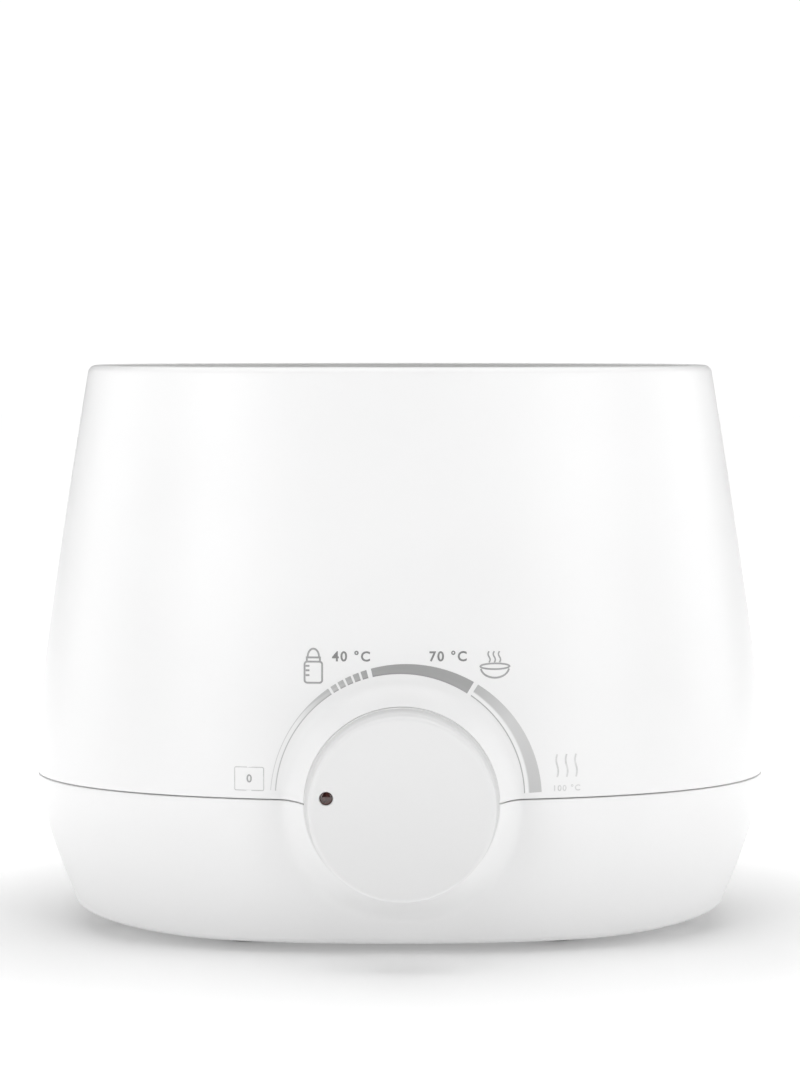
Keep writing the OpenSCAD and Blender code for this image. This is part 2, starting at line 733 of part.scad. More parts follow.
module bottle_cup(side) {
    h = cup_top_z - rack_z;
    color("white") placed() translate([side * bottle_x, 0, rack_z]) difference() {
        union() {
            tube(cup_r + cup_wall, cup_r, h);
            cylinder(r = cup_r + 0.5, h = rack_floor_t);
            translate([0, 0, h - 3]) tube(cup_r + cup_wall + 0.8, cup_r, 3);
            for (a = [60, 180, 300]) rotate(a + (side > 0 ? 0 : 180)) translate([30, 0, -2.7])
                cylinder(r = 2.5, h = 4);
        }
        for (a = [30:30:150], s = [-1, 1]) rotate(s * a)
            translate([cup_r - 4, -slot_w / 2, 14]) cube([10, slot_w, h - 28]);
        translate([0, 0, -4]) cylinder(r = 9, h = 10);
        for (a = [0:60:300]) rotate(a) translate([20, 0, -4]) cylinder(r = 5, h = 10);
    }
}

module rack_handle() {
    low = rack_z + 24;
    color("white") placed() difference() {
        union() {
            translate([-handle_t / 2, -20, low]) cube([handle_t, 40, handle_top_z - low - 12]);
            translate([-handle_t / 2, -8, handle_top_z - 14]) cube([handle_t, 16, 14]);
            for (s = [-1, 1]) translate([-handle_t / 2, s * 8, handle_top_z - 12]) rotate([0, 90, 0])
                cylinder(r = 12, h = handle_t);
            for (z = [low, cup_top_z - 14]) translate([-8.6, -10, z]) cube([17.2, 20, 6]);
        }
        for (s = [-1, 1]) translate([s * bottle_x, 0, low - 5])
            cylinder(r = cup_r + cup_wall + 0.05, h = 80);
        for (s = [-1, 1]) translate([-10, s * 7, handle_top_z - 15]) rotate([0, 90, 0])
            cylinder(r = 7.5, h = 20);
        translate([-10, -7, handle_top_z - 22.5]) cube([20, 14, 15]);
    }
}

upper_shell();
lower_shell();
tank();
rim_seal();
heater_plate();
heater_gasket();
heater_clamp_ring();
clamp_screws();
heating_element();
element_pins();
thermal_fuse();
fuse_clip();
sensor_bulb();
bulb_clip();
capillary_tube();
thermostat_body();
thermostat_terminals();
thermostat_bracket();
bushing_nut();
bracket_screws();
spindle();
knob();
hub_ring();
pointer_lens();
light_ring();
led_board();
led();
shell_screws();
tank_screws();
foot(-1, -1);  // foot_front_left
foot(1, -1);  // foot_front_right
foot(-1, 1);  // foot_rear_left
foot(1, 1);  // foot_rear_right
cord_gland();
gland_nut();
terminal_block();
terminal_screws();
wire_neutral();
wire_live();
wire_fuse();
wire_heater();
led_leads();
bottle_cup(-1);  // cup_left
bottle_cup(1);  // cup_right
rack_handle();
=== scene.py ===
import json
import math

import bmesh
import bpy
import numpy as np
from mathutils import Matrix, Vector


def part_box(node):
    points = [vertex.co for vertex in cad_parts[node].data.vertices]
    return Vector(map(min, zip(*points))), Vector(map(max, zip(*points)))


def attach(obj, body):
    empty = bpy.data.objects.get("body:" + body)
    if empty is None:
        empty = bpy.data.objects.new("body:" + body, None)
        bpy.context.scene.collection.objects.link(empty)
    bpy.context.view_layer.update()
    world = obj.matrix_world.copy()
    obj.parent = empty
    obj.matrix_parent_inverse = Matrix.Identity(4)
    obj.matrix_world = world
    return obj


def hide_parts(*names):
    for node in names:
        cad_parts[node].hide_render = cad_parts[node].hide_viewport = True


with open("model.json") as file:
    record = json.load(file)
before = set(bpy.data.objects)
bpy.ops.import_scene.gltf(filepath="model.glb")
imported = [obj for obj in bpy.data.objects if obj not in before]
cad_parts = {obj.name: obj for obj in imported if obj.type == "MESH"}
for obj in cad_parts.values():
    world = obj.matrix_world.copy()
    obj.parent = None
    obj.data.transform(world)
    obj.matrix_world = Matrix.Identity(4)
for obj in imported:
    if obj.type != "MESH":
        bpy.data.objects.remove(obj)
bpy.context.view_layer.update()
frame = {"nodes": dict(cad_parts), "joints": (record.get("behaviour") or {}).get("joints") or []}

MM = 0.001

# ---- sizes read from the frame ----

upper_low, upper_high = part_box("upper_shell")
lower_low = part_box("lower_shell")[0]
seal_low, seal_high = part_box("rim_seal")
knob_low, knob_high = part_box("knob")
tank_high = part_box("tank")[1]
dial_joint = next(j for j in frame["joints"] if j["name"] == "knob_turn")

AXIS_Y = (seal_low.y + seal_high.y) / 2
BODY_W = upper_high.x - upper_low.x
BODY_D = 2 * (upper_high.y - AXIS_Y)
BODY_H = upper_high.z
BASE_Z = lower_low.z
SEAM_Z = dial_joint["pos_m"][2]
SEAM_GAP = 2 * (upper_low.z - SEAM_Z)
KNOB_R = (knob_high.x - knob_low.x) / 2
POCKET_R = KNOB_R - 0.6 * MM
KNOB_FRONT = knob_low.y - AXIS_Y
COLLAR_FRONT = upper_low.y - AXIS_Y
TANK_TOP = tank_high.z

# ---- the housing's outline, the same rule as in the CAD ----

WIDE_Z = 57.5 * MM
UPPER_SLOPE, UPPER_SOFT = 0.171, 33.5 * MM
LOWER_SLOPE, LOWER_SOFT = 0.45, 24 * MM
PLAN_N = 2.3
WALL = 2.6 * MM
LIP_W = 5.8 * MM
LIP_T = 3 * MM
RIM_ROUND = 2.4 * MM
LIP_ROUND = 0.8 * MM
BASE_ROUND = 2.5 * MM
END_LIFT, LIFT_START, LIFT_REACH = 4 * MM, 60 * MM, 16 * MM
BASE_FLAT_A, BASE_FLAT_B, BASE_FLAT_N = 70 * MM, 48 * MM, 8
FLOOR_T = 2.5 * MM
CREST_R = POCKET_R + 1 * MM
FOOT_R, FOOT_DROP = 41 * MM, 3.5 * MM
DIAL_FLOOR = -(BODY_D / 2 - 4 * MM)
DIAL_FLOOR_T = 2 * MM

# Points round a shell's ring, the one in the middle of the front, and how many on each side of
# it the dial's patch replaces.
COLUMNS = 288
FRONT = 3 * COLUMNS // 4
PATCH = 24


def half_w(z):
    if z > WIDE_Z:
        slope, soft = UPPER_SLOPE, UPPER_SOFT
    else:
        slope, soft = LOWER_SLOPE, LOWER_SOFT
    return BODY_W / 2 - slope * (math.hypot(z - WIDE_Z, soft) - soft)


def half_d(z):
    return half_w(z) - (BODY_W - BODY_D) / 2


def even_oval(a, b, n):
    """Points of a superellipse, evenly spaced along it, anticlockwise from +X."""
    t = np.linspace(0, 2 * math.pi, 4097)
    c, s = np.cos(t), np.sin(t)
    x = a * np.sign(c) * np.abs(c) ** (2 / n)
    y = b * np.sign(s) * np.abs(s) ** (2 / n)
    run = np.concatenate([[0], np.cumsum(np.hypot(np.diff(x), np.diff(y)))])
    at = np.linspace(0, run[-1], COLUMNS, endpoint=False)
    return list(zip(np.interp(at, run, x), np.interp(at, run, y)))


def oval_ring(a, b, n, z):
    return [Vector((x, y + AXIS_Y, z)) for x, y in even_oval(a, b, n)]


def shell_ring(inset, z):
    return oval_ring(half_w(z) - inset, half_d(z) - inset, PLAN_N, z)


def end_rise(x, z):
    """Towards its two ends the underside sweeps up, which fades out up the wall."""
    past = max(0.0, abs(x) - LIFT_START) / (half_w(BASE_Z) - LIFT_START)
    return END_LIFT * past ** 2 * max(0.0, 1 - (z - BASE_Z) / LIFT_REACH)


def swept_ring(inset, z):
    points = []
    for p in shell_ring(inset, z):
        rise = end_rise(p.x, z)
        k = half_w(z + rise) / half_w(z)
        points.append(Vector((k * p.x, AXIS_Y + k * (p.y - AXIS_Y), z + rise)))
    return points


def shell_y(x, z, inset=0.0):
    """Depth of the plain front wall, from the housing's axis."""
    a, b = half_w(z) - inset, half_d(z) - inset
    return -b * max(0.0, 1 - (abs(x) / a) ** PLAN_N) ** (1 / PLAN_N)


def collar_foot(x, z):
    """Radius where the flared collar runs out into the wall: wider below the dial."""
    r = max(math.hypot(x, z - SEAM_Z), 1e-6)
    return FOOT_R + FOOT_DROP * max(0.0, (SEAM_Z - z) / r)


def front_y(x, z):
    """Depth of the front wall with the flared collar on it, from the housing's axis."""
    y = shell_y(x, z)
    foot = collar_foot(x, z)
    r = math.hypot(x, z - SEAM_Z)
    if r >= foot:
        return y
    rise = min(1.0, (foot - r) / (foot - CREST_R)) ** 2
    return y + (COLLAR_FRONT - y) * rise


# ---- mesh helpers ----

def new_object(name, bm):
    """Puts a bmesh into the scene as an object, and frees the bmesh."""
    bmesh.ops.recalc_face_normals(bm, faces=bm.faces)
    mesh = bpy.data.meshes.new(name)
    bm.to_mesh(mesh)
    bm.free()
    obj = bpy.data.objects.new(name, mesh)
    bpy.context.scene.collection.objects.link(obj)
    return obj


def shade_smooth(mesh, sharp=32):
    """Smooth shading, broken where faces meet at more than an angle in degrees."""
    mesh.polygons.foreach_set("use_smooth", [True] * len(mesh.polygons))
    mesh.set_sharp_from_angle(angle=math.radians(sharp))


def finish_mesh(name, bm, material, body, replaced=(), sharp=32):
    obj = new_object(name, bm)
    shade_smooth(obj.data, sharp)
    obj.data.materials.append(material)
    if replaced:
        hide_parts(*replaced)
    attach(obj, body)
    return obj


def boolean(target, bm, operation):
    """Joins a bmesh's shape to a piece, or cuts it out of it."""
    cutter = new_object("cutter", bm)
    bpy.context.view_layer.update()
    mod = target.modifiers.new("cut", "BOOLEAN")
    mod.object = cutter
    mod.operation = operation
    mod.solver = "EXACT"
    graph = bpy.context.evaluated_depsgraph_get()
    mesh = bpy.data.meshes.new_from_object(target.evaluated_get(graph), depsgraph=graph)
    target.modifiers.clear()
    old = target.data
    target.data = mesh
    bpy.data.meshes.remove(old)
    shade_smooth(mesh)
    bpy.data.objects.remove(cutter)


def bridge(bm, low, high, skip=lambda i: False):
    """Quads between two rings of vertices."""
    count = len(low)
    for i in range(count):
        m = (i + 1) % count
        if not skip(i):
            bm.faces.new((low[i], low[m], high[m], high[i]))


def closed_skin(bm, rings):
    """Quads between neighbouring rings of points, and from the last ring to the first."""
    rows = [[bm.verts.new(p) for p in ring] for ring in rings]
    for low, high in zip(rows, rows[1:] + rows[:1]):
        bridge(bm, low, high)


def lathe(bm, profile, segments, place):
    """Turns a closed outline of (radius, height) points about +Z; place moves the result.

    Radius 0 is a pole, and nothing is drawn between two poles.
    """
    turns = [2 * math.pi * k / segments for k in range(segments)]
    rows = []
    for r, h in profile:
        if r < 1e-9:
            rows.append([bm.verts.new(place @ Vector((0, 0, h)))])
        else:
            rows.append([bm.verts.new(place @ Vector((r * math.cos(a), r * math.sin(a), h)))
                         for a in turns])
    for low, high in zip(rows, rows[1:] + rows[:1]):
        if len(low) == 1 and len(high) == 1:
            continue
        for k in range(segments):
            m = (k + 1) % segments
            if len(low) == 1:
                bm.faces.new((low[0], high[m], high[k]))
            elif len(high) == 1:
                bm.faces.new((low[k], low[m], high[0]))
            else:
                bm.faces.new((low[k], low[m], high[m], high[k]))


def along_dial(y):
    """Places a shape drawn along +Z so that it points forward from the dial's axis."""
    return Matrix.Translation((0, AXIS_Y - y, SEAM_Z)) @ Matrix.Rotation(math.pi / 2, 4, "X")


def ellipse(cx, cy, rx, ry, start, end, steps):
    """Points round an ellipse, angles in degrees."""
    angles = [math.radians(start + (end - start) * k / steps) for k in range(steps + 1)]
    return [(cx + rx * math.cos(a), cy + ry * math.sin(a)) for a in angles]


def arc(cx, cy, r, start, end, steps):
    """Points of a round in a profile, angles in degrees."""
    return ellipse(cx, cy, r, r, start, end, steps)


def turn_steps(start, end, step):
    """A range of whole degrees, as radians."""
    return [math.radians(a) for a in range(start, end, step)]


def upright(x, y):
    """Places a shape drawn about +Z at a point given from the housing's axis."""
    return Matrix.Translation((x, AXIS_Y + y, 0))


def corners(x, y):
    """The four points at x and y from the housing's axis."""
    return [(sx * x, sy * y) for sx in (-1, 1) for sy in (-1, 1)]


def rod(bm, x, y, low, high, r):
    """An upright rod between two heights, at a point given from the housing's axis."""
    lathe(bm, [(0, low), (r, low), (r, high), (0, high)], 48, upright(x, y))


def block(bm, low, high):
    """A box between two corners given from the housing's axis."""
    size = [b - a for a, b in zip(low, high)]
    middle = [(a + b) / 2 for a, b in zip(low, high)]
    place = Matrix.Translation((middle[0], AXIS_Y + middle[1], middle[2]))
    bmesh.ops.create_cube(bm, size=1, matrix=place @ Matrix.Diagonal((*size, 1)))


# ---- materials ----

GRAIN_DEPTH, MARK_DEPTH = 0.04 * MM, 0.03 * MM

# The scale lies between two circles that are not quite concentric: x, height, radius.
SCALE_OUTER = (1.5 * MM, 0.0, 45.6 * MM)
SCALE_INNER = (-0.5 * MM, 0.7 * MM, 41.6 * MM)


def new_material(name, color, rough, metallic=0.0):
    mat = bpy.data.materials.new(name)
    mat.use_nodes = True
    nodes, links = mat.node_tree.nodes, mat.node_tree.links
    shader = nodes["Principled BSDF"]
    shader.inputs["Base Color"].default_value = (*color, 1)
    shader.inputs["Roughness"].default_value = rough
    shader.inputs["Metallic"].default_value = metallic
    shader.inputs["IOR"].default_value = 1.5
    return mat, nodes, links, shader


def noise(nodes, links, scale, detail=3.0, rough=0.5, stretch=(1, 1, 1)):
    """A noise texture in object space, in metres."""
    coord = nodes.new("ShaderNodeTexCoord")
    mapping = nodes.new("ShaderNodeMapping")
    mapping.inputs["Scale"].default_value = stretch
    tex = nodes.new("ShaderNodeTexNoise")
    tex.inputs["Scale"].default_value = scale
    tex.inputs["Detail"].default_value = detail
    tex.inputs["Roughness"].default_value = rough
    links.new(coord.outputs["Object"], mapping.inputs["Vector"])
    links.new(mapping.outputs["Vector"], tex.inputs["Vector"])
    return tex


def vary(nodes, links, tex, socket, low, high):
    """Drives a shader value from a texture, between two limits."""
    span = nodes.new("ShaderNodeMapRange")
    span.inputs["From Min"].default_value = 0.3
    span.inputs["From Max"].default_value = 0.7
    span.inputs["To Min"].default_value = low
    span.inputs["To Max"].default_value = high
    links.new(tex.outputs["Fac"], span.inputs["Value"])
    links.new(span.outputs["Result"], socket)


def tint(nodes, links, tex, socket, dark, light):
    """Drives a colour from a texture, between two shades."""
    ramp = nodes.new("ShaderNodeValToRGB")
    ramp.color_ramp.elements[0].position = 0.35
    ramp.color_ramp.elements[0].color = (*dark, 1)
    ramp.color_ramp.elements[1].position = 0.65
    ramp.color_ramp.elements[1].color = (*light, 1)
    links.new(tex.outputs["Fac"], ramp.inputs["Fac"])
    links.new(ramp.outputs["Color"], socket)


def bump(nodes, links, tex, shader, strength, distance):
    node = nodes.new("ShaderNodeBump")
    node.inputs["Strength"].default_value = strength
    node.inputs["Distance"].default_value = distance
    links.new(tex.outputs["Fac"], node.inputs["Height"])
    links.new(node.outputs["Normal"], shader.inputs["Normal"])


def calc(nodes, links, operation, a, b=None):
    """One step of arithmetic; each input is a number or another node's output."""
    node = nodes.new("ShaderNodeMath")
    node.operation = operation
    for socket, value in zip(node.inputs, (a, b)):
        if isinstance(value, (int, float)):
            socket.default_value = value
        elif value is not None:
            links.new(value, socket)
    return node.outputs[0]


def smooth_step(nodes, links, value, low, high):
    """0 to 1 while the value goes from low to high, soft at both ends."""
    span = nodes.new("ShaderNodeMapRange")
    span.interpolation_type = "SMOOTHSTEP"
    span.inputs["From Min"].default_value = low
    span.inputs["From Max"].default_value = high
    links.new(value, span.inputs["Value"])
    return span.outputs["Result"]


def grey_ramp(nodes, links, value, stops):
    """A grey that follows (place, shade) stops along the value."""
    ramp = nodes.new("ShaderNodeValToRGB")
    ends = ramp.color_ramp.elements
    ends[0].position, ends[1].position = stops[0][0], stops[-1][0]
    for at, _ in stops[1:-1]:
        ends.new(at)
    for element, (_, shade) in zip(ends, stops):
        element.color = (shade, shade, shade, 1)
    links.new(value, ramp.inputs["Fac"])
    return ramp.outputs["Color"]


def mix_color(nodes, links, factor, a, b):
    node = nodes.new("ShaderNodeMix")
    node.data_type = "RGBA"
    for socket, value in ((0, factor), (6, a), (7, b)):
        links.new(value, node.inputs[socket])
    return node.outputs[2]


def plastic(name, color, rough, grain=0.08, grain_scale=2600, shade=0.012):
    """Moulded plastic: a fine spark-eroded grain, slightly uneven gloss and shade."""
    mat, nodes, links, shader = new_material(name, color, rough)
    broad = noise(nodes, links, 14, 2)
    tint(nodes, links, broad, shader.inputs["Base Color"],
         [max(0, c - shade) for c in color], [min(1, c + shade * 0.6) for c in color])
    vary(nodes, links, noise(nodes, links, 60, 4), shader.inputs["Roughness"],
         rough - 0.03, rough + 0.03)
    bump(nodes, links, noise(nodes, links, grain_scale, 2), shader, grain, GRAIN_DEPTH)
    return mat


def metal(name, color, rough, brushed=(1, 1, 1), scale=900, shade=0.06):
    """Bare or plated metal with fine working marks along one direction."""
    mat, nodes, links, shader = new_material(name, color, rough, metallic=1.0)
    marks = noise(nodes, links, scale, 3, 0.6, brushed)
    tint(nodes, links, marks, shader.inputs["Base Color"],
         [max(0, c - shade) for c in color], [min(1, c + shade * 0.5) for c in color])
    vary(nodes, links, marks, shader.inputs["Roughness"], rough - 0.06, rough + 0.08)
    bump(nodes, links, marks, shader, 0.15, MARK_DEPTH)
    return mat


WHITE = plastic("white_abs", (0.90, 0.90, 0.90), 0.34)
TANK_WHITE = plastic("white_polypropylene_tank", (0.80, 0.80, 0.795), 0.36)
RACK_WHITE = plastic("white_polypropylene_rack", (0.84, 0.84, 0.83), 0.38)
SILICONE = plastic("silicone", (0.88, 0.88, 0.875), 0.5, grain=0.04)
GLAND = plastic("nylon_gland", (0.78, 0.78, 0.78), 0.42)
BLOCK = plastic("nylon_block", (0.72, 0.69, 0.60), 0.45)
CERAMIC = plastic("ceramic", (0.78, 0.75, 0.68), 0.62, grain=0.3, grain_scale=1400, shade=0.03)
RUBBER = plastic("foot_rubber", (0.30, 0.30, 0.305), 0.72, grain=0.35, grain_scale=1800)
GUIDE = plastic("light_guide", (0.8, 0.78, 0.76), 0.3)
BOARD = plastic("circuit_board", (0.03, 0.17, 0.07), 0.38, grain=0.25, grain_scale=1200, shade=0.02)
PVC_BLUE = plastic("pvc_blue", (0.02, 0.09, 0.36), 0.4)
PVC_BROWN = plastic("pvc_brown", (0.17, 0.07, 0.03), 0.4)
PVC_RED = plastic("pvc_red", (0.45, 0.03, 0.02), 0.4)
ZINC = metal("zinc_steel", (0.62, 0.63, 0.65), 0.32)
STEEL = metal("stainless_plate", (0.60, 0.60, 0.60), 0.30, brushed=(1, 0.06, 1))
SHEATH = metal("element_sheath", (0.20, 0.18, 0.17), 0.48)
BRASS = metal("brass", (0.70, 0.50, 0.22), 0.3)
COPPER = metal("copper", (0.72, 0.36, 0.22), 0.28)


def knob_material():
    """The face is smooth and white; the sides behind its edge are painted a darker grey, a painted
    shade on the knob's sides.
    """
    mat, nodes, links, shader = new_material("white_abs_knob_painted_side_shade", (0.8, 0.8, 0.8), 0.4)
    coord = nodes.new("ShaderNodeTexCoord")
    split = nodes.new("ShaderNodeSeparateXYZ")
    links.new(coord.outputs["Object"], split.inputs["Vector"])
    face = AXIS_Y + KNOB_FRONT
    # Painted shade: 0.9 to 1.8 mm behind the face the colour darkens from the face's grey to the
    # sides' darker grey.
    depth = smooth_step(nodes, links, split.outputs["Y"], face + 0.9 * MM, face + 1.8 * MM)
    shade = nodes.new("ShaderNodeMapRange")
    shade.inputs["To Min"].default_value = 0.81
    shade.inputs["To Max"].default_value = 0.755
    links.new(depth, shade.inputs["Value"])
    links.new(shade.outputs["Result"], shader.inputs["Base Color"])
    vary(nodes, links, noise(nodes, links, 60, 4), shader.inputs["Roughness"], 0.37, 0.43)
    bump(nodes, links, noise(nodes, links, 2600, 2), shader, 0.12, GRAIN_DEPTH)
    return mat


def lens_material():
    """Clear dark red plastic with a polished surface, unlit."""
    mat, nodes, links, shader = new_material("red_lens", (0.03, 0.010, 0.009), 0.12)
    tint(nodes, links, noise(nodes, links, 900, 2), shader.inputs["Base Color"],
         (0.028, 0.009, 0.008), (0.070, 0.026, 0.022))
    shader.inputs["Coat Weight"].default_value = 0.6
    shader.inputs["Coat Roughness"].default_value = 0.06
    return mat


def foil_material():
    """Silver foil stamped on the collar's foot, drawn as a plain grey that is not metallic. Its
    shades are painted reflection on a foil that is one silver all over: it runs from pale at off to
    grey on top, and its inner half is painted white at both ends as a highlight, inside a thin grey
    line."""
    mat, nodes, links, shader = new_material("scale_foil", (0.4, 0.4, 0.41), 0.45)
    coord = nodes.new("ShaderNodeTexCoord")
    split = nodes.new("ShaderNodeSeparateXYZ")
    links.new(coord.outputs["Object"], split.inputs["Vector"])
    x = split.outputs["X"]
    z = calc(nodes, links, "SUBTRACT", split.outputs["Z"], SEAM_Z)
    turn = calc(nodes, links, "ARCTAN2", z, x)
    place = calc(nodes, links, "SUBTRACT", 1.0, calc(nodes, links, "DIVIDE", turn, math.pi))

    def edge_gap(circle):
        cx, cz, r = circle
        dx = calc(nodes, links, "SUBTRACT", x, cx)
        dz = calc(nodes, links, "SUBTRACT", z, cz)
        reach = calc(nodes, links, "SQRT", calc(nodes, links, "ADD",
                                                calc(nodes, links, "MULTIPLY", dx, dx),
                                                calc(nodes, links, "MULTIPLY", dz, dz)))
        return calc(nodes, links, "ABSOLUTE", calc(nodes, links, "SUBTRACT", reach, r))

    from_out, from_in = edge_gap(SCALE_OUTER), edge_gap(SCALE_INNER)
    across = calc(nodes, links, "DIVIDE", from_out, calc(nodes, links, "ADD", from_out, from_in))
    # Painted reflection: the greys of the outer and inner halves along the scale, and the inner
    # half's painted white highlight at both ends.
    outer = grey_ramp(nodes, links, place,
                      ((0.0, 0.68), (0.15, 0.64), (0.27, 0.56), (0.32, 0.50), (0.42, 0.37),
                       (0.5, 0.35), (0.675, 0.38), (0.685, 0.50), (0.8, 0.64), (1.0, 0.58)))
    inner = grey_ramp(nodes, links, place,
                      ((0.0, 0.88), (0.2, 0.88), (0.28, 0.62), (0.33, 0.54), (0.42, 0.38),
                       (0.55, 0.36), (0.675, 0.40), (0.685, 0.90), (1.0, 0.95)))
    line = grey_ramp(nodes, links, place,
                     ((0.0, 0.60), (0.25, 0.50), (0.42, 0.30), (0.62, 0.34), (0.72, 0.46),
                      (1.0, 0.52)))
    width = grey_ramp(nodes, links, place,
                      ((0.0, 0.12), (0.24, 0.14), (0.30, 0.45), (0.62, 0.60), (0.72, 0.66),
                       (1.0, 0.72)))
    past = calc(nodes, links, "SUBTRACT", across, width)
    color = mix_color(nodes, links, smooth_step(nodes, links, past, -0.07, 0.07), outer, inner)
    edge = smooth_step(nodes, links, from_in, 0.45 * MM, 0.3 * MM)
    color = mix_color(nodes, links, edge, color, line)
    links.new(color, shader.inputs["Base Color"])
    vary(nodes, links, noise(nodes, links, 700, 3), shader.inputs["Roughness"], 0.4, 0.5)
    return mat


def ink_material(name, shade):
    mat, nodes, links, shader = new_material(name, (shade,) * 3, 0.5, metallic=0.2)
    tint(nodes, links, noise(nodes, links, 500, 3), shader.inputs["Base Color"],
         (shade * 0.92,) * 3, (min(1, shade * 1.06),) * 3)
    return mat


KNOB_WHITE = knob_material()
LENS = lens_material()
FOIL = foil_material()
DARK_INK = ink_material("print_dark", 0.26)
INK = ink_material("print_grey", 0.40)
PALE_INK = ink_material("print_pale", 0.60)
FAINT_INK = ink_material("print_faint", 0.70)

# ---- shells ----

EDGE_ROUND = 0.35 * MM
PATCH_RISE, PATCH_DROP = 53 * MM, 45 * MM
SPINDLE_HOLE_R = 7 * MM
POINTER_R = 25.2 * MM
SHELL_POSTS = corners(103 * MM, 12 * MM)
TANK_POSTS = corners(66 * MM, 22 * MM)
BRACKET_POSTS = [(-14 * MM, -52 * MM), (14 * MM, -52 * MM)]
POST_R = 5 * MM
POST_TOP = 60 * MM
FEET = ["foot_front_left", "foot_front_right", "foot_rear_left", "foot_rear_right"]
GLAND_Z = 24 * MM
GLAND_FACE = BODY_D / 2 - 5.5 * MM
GLAND_PAD_T = 9 * MM


def edge_inset(rise):
    """How far the small round at the seam pulls the wall in, at a height from the edge."""
    if rise >= EDGE_ROUND:
        return 0.0
    return EDGE_ROUND * (1 - math.sqrt(1 - (1 - rise / EDGE_ROUND) ** 2))


def patch_path(top_row):
    """Indices (row, column) round the patch, from its right end at the seam to its left end."""
    right, left = FRONT + PATCH, FRONT - PATCH
    path = [(j, right) for j in range(top_row)]
    path += [(top_row, i) for i in range(right, left - 1, -1)]
    path += [(j, left) for j in range(top_row - 1, -1, -1)]
    return path


def ray_points(edge, rise, sign, inner):
    """Points from the patch's border in to the collar, over its crest and into the pocket.

    edge is the border's place, rise its height from the seam's edge. The points near the seam
    keep their height, so that the small round there keeps its shape.
    """
    level = SEAM_Z + sign * (SEAM_GAP / 2 + rise)
    angle = math.atan2(edge.z - SEAM_Z, edge.x)
    keep = rise <= EDGE_ROUND * 1.01
    side = 1 if edge.x > 0 else -1

    def at(r):
        if keep:
            dz = level - SEAM_Z
            return side * math.sqrt(max(r * r - dz * dz, 0)), level
        return r * math.cos(angle), SEAM_Z + r * math.sin(angle)

    pull = edge_inset(rise)
    border = math.hypot(edge.x, edge.z - SEAM_Z)
    foot = collar_foot(*at(border)) + 1 * MM
    points = []
    spread = 10
    for k in range(1, spread):
        x, z = at(border + (foot - border) * (k / spread))
        points.append((x, front_y(x, z) + pull, z))
    climb = 18
    crest = CREST_R - 0.1 * MM
    for k in range(climb + 1):
        x, z = at(foot + (crest - foot) * k / climb)
        points.append((x, front_y(x, z) + pull, z))
    turn = 0.55 * MM
    for a in (20, 40, 60, 75, 90):
        t = math.radians(a)
        x, z = at(POCKET_R + turn * (1 - math.sin(t)))
        points.append((x, COLLAR_FRONT + turn * (1 - math.cos(t)) + pull, z))
    inside = DIAL_FLOOR + DIAL_FLOOR_T
    for r, y in ((POCKET_R, COLLAR_FRONT + 3 * MM), (POCKET_R, DIAL_FLOOR),
                 (SPINDLE_HOLE_R, DIAL_FLOOR), (SPINDLE_HOLE_R, inside),
                 (POCKET_R + 3 * MM, inside)):
        x, z = at(r)
        points.append((x, y, z))
    back = math.hypot(inner.x, inner.z - SEAM_Z)
    start = POCKET_R + 5 * MM
    for k in range(6):
        x, z = at(start + (back - start) * k / 6)
        points.append((x, shell_y(x, z, WALL), z))
    return [Vector((x, y + AXIS_Y, z)) for x, y, z in points]


def dial_patch(bm, outer, inner, rises, top_row, sign):
    """The collar, pocket and pocket floor, joining the outer wall to the inner one."""
    strips = []
    for j, i in patch_path(top_row):
        a, b = outer[j][i], inner[j][i]
        mid = [bm.verts.new(p) for p in ray_points(a.co, rises[j], sign, b.co)]
        strips.append([a, *mid, b])
    for left, right in zip(strips, strips[1:]):
        for k in range(len(left) - 1):
            bm.faces.new((left[k], left[k + 1], right[k + 1], right[k]))
    for strip in (strips[0], strips[-1]):
        bm.faces.new(strip)


def in_patch(j, i, top_row):
    """Whether the quad beyond row j, seen from the seam, and after column i is in the patch."""
    return j < top_row and FRONT - PATCH <= i < FRONT + PATCH


def wall_rows(bm, rings, top_row):
    """Rows of vertices; those inside the patch are left out."""
    rows = []
    for j, ring in enumerate(rings):
        row = []
        for i, p in enumerate(ring):
            inside = j < top_row and FRONT - PATCH < i < FRONT + PATCH
            row.append(None if inside else bm.verts.new(p))
        rows.append(row)
    return rows


def shell_heights(far, rows):
    """Heights away from the seam's edge: close together on its round, then even."""
    near = [0.0, 0.25 * EDGE_ROUND, 0.6 * EDGE_ROUND, EDGE_ROUND]
    even = [EDGE_ROUND + (far - EDGE_ROUND) * k / rows for k in range(1, rows + 1)]
    return near + even


def shell_walls(bm, ring, edge, sign, rises, top_row):
    """The outer and the inner wall, joined along the seam, with the dial's patch left open."""
    outer = wall_rows(bm, [ring(edge_inset(r), edge + sign * r) for r in rises], top_row)
    inner = wall_rows(bm, [ring(WALL, edge + sign * r) for r in rises], top_row)
    for rows in (outer, inner):
        for j in range(len(rows) - 1):
            bridge(bm, rows[j], rows[j + 1], lambda i, j=j: in_patch(j, i, top_row))
    bridge(bm, outer[0], inner[0], lambda i: in_patch(0, i, top_row))
    return outer, inner


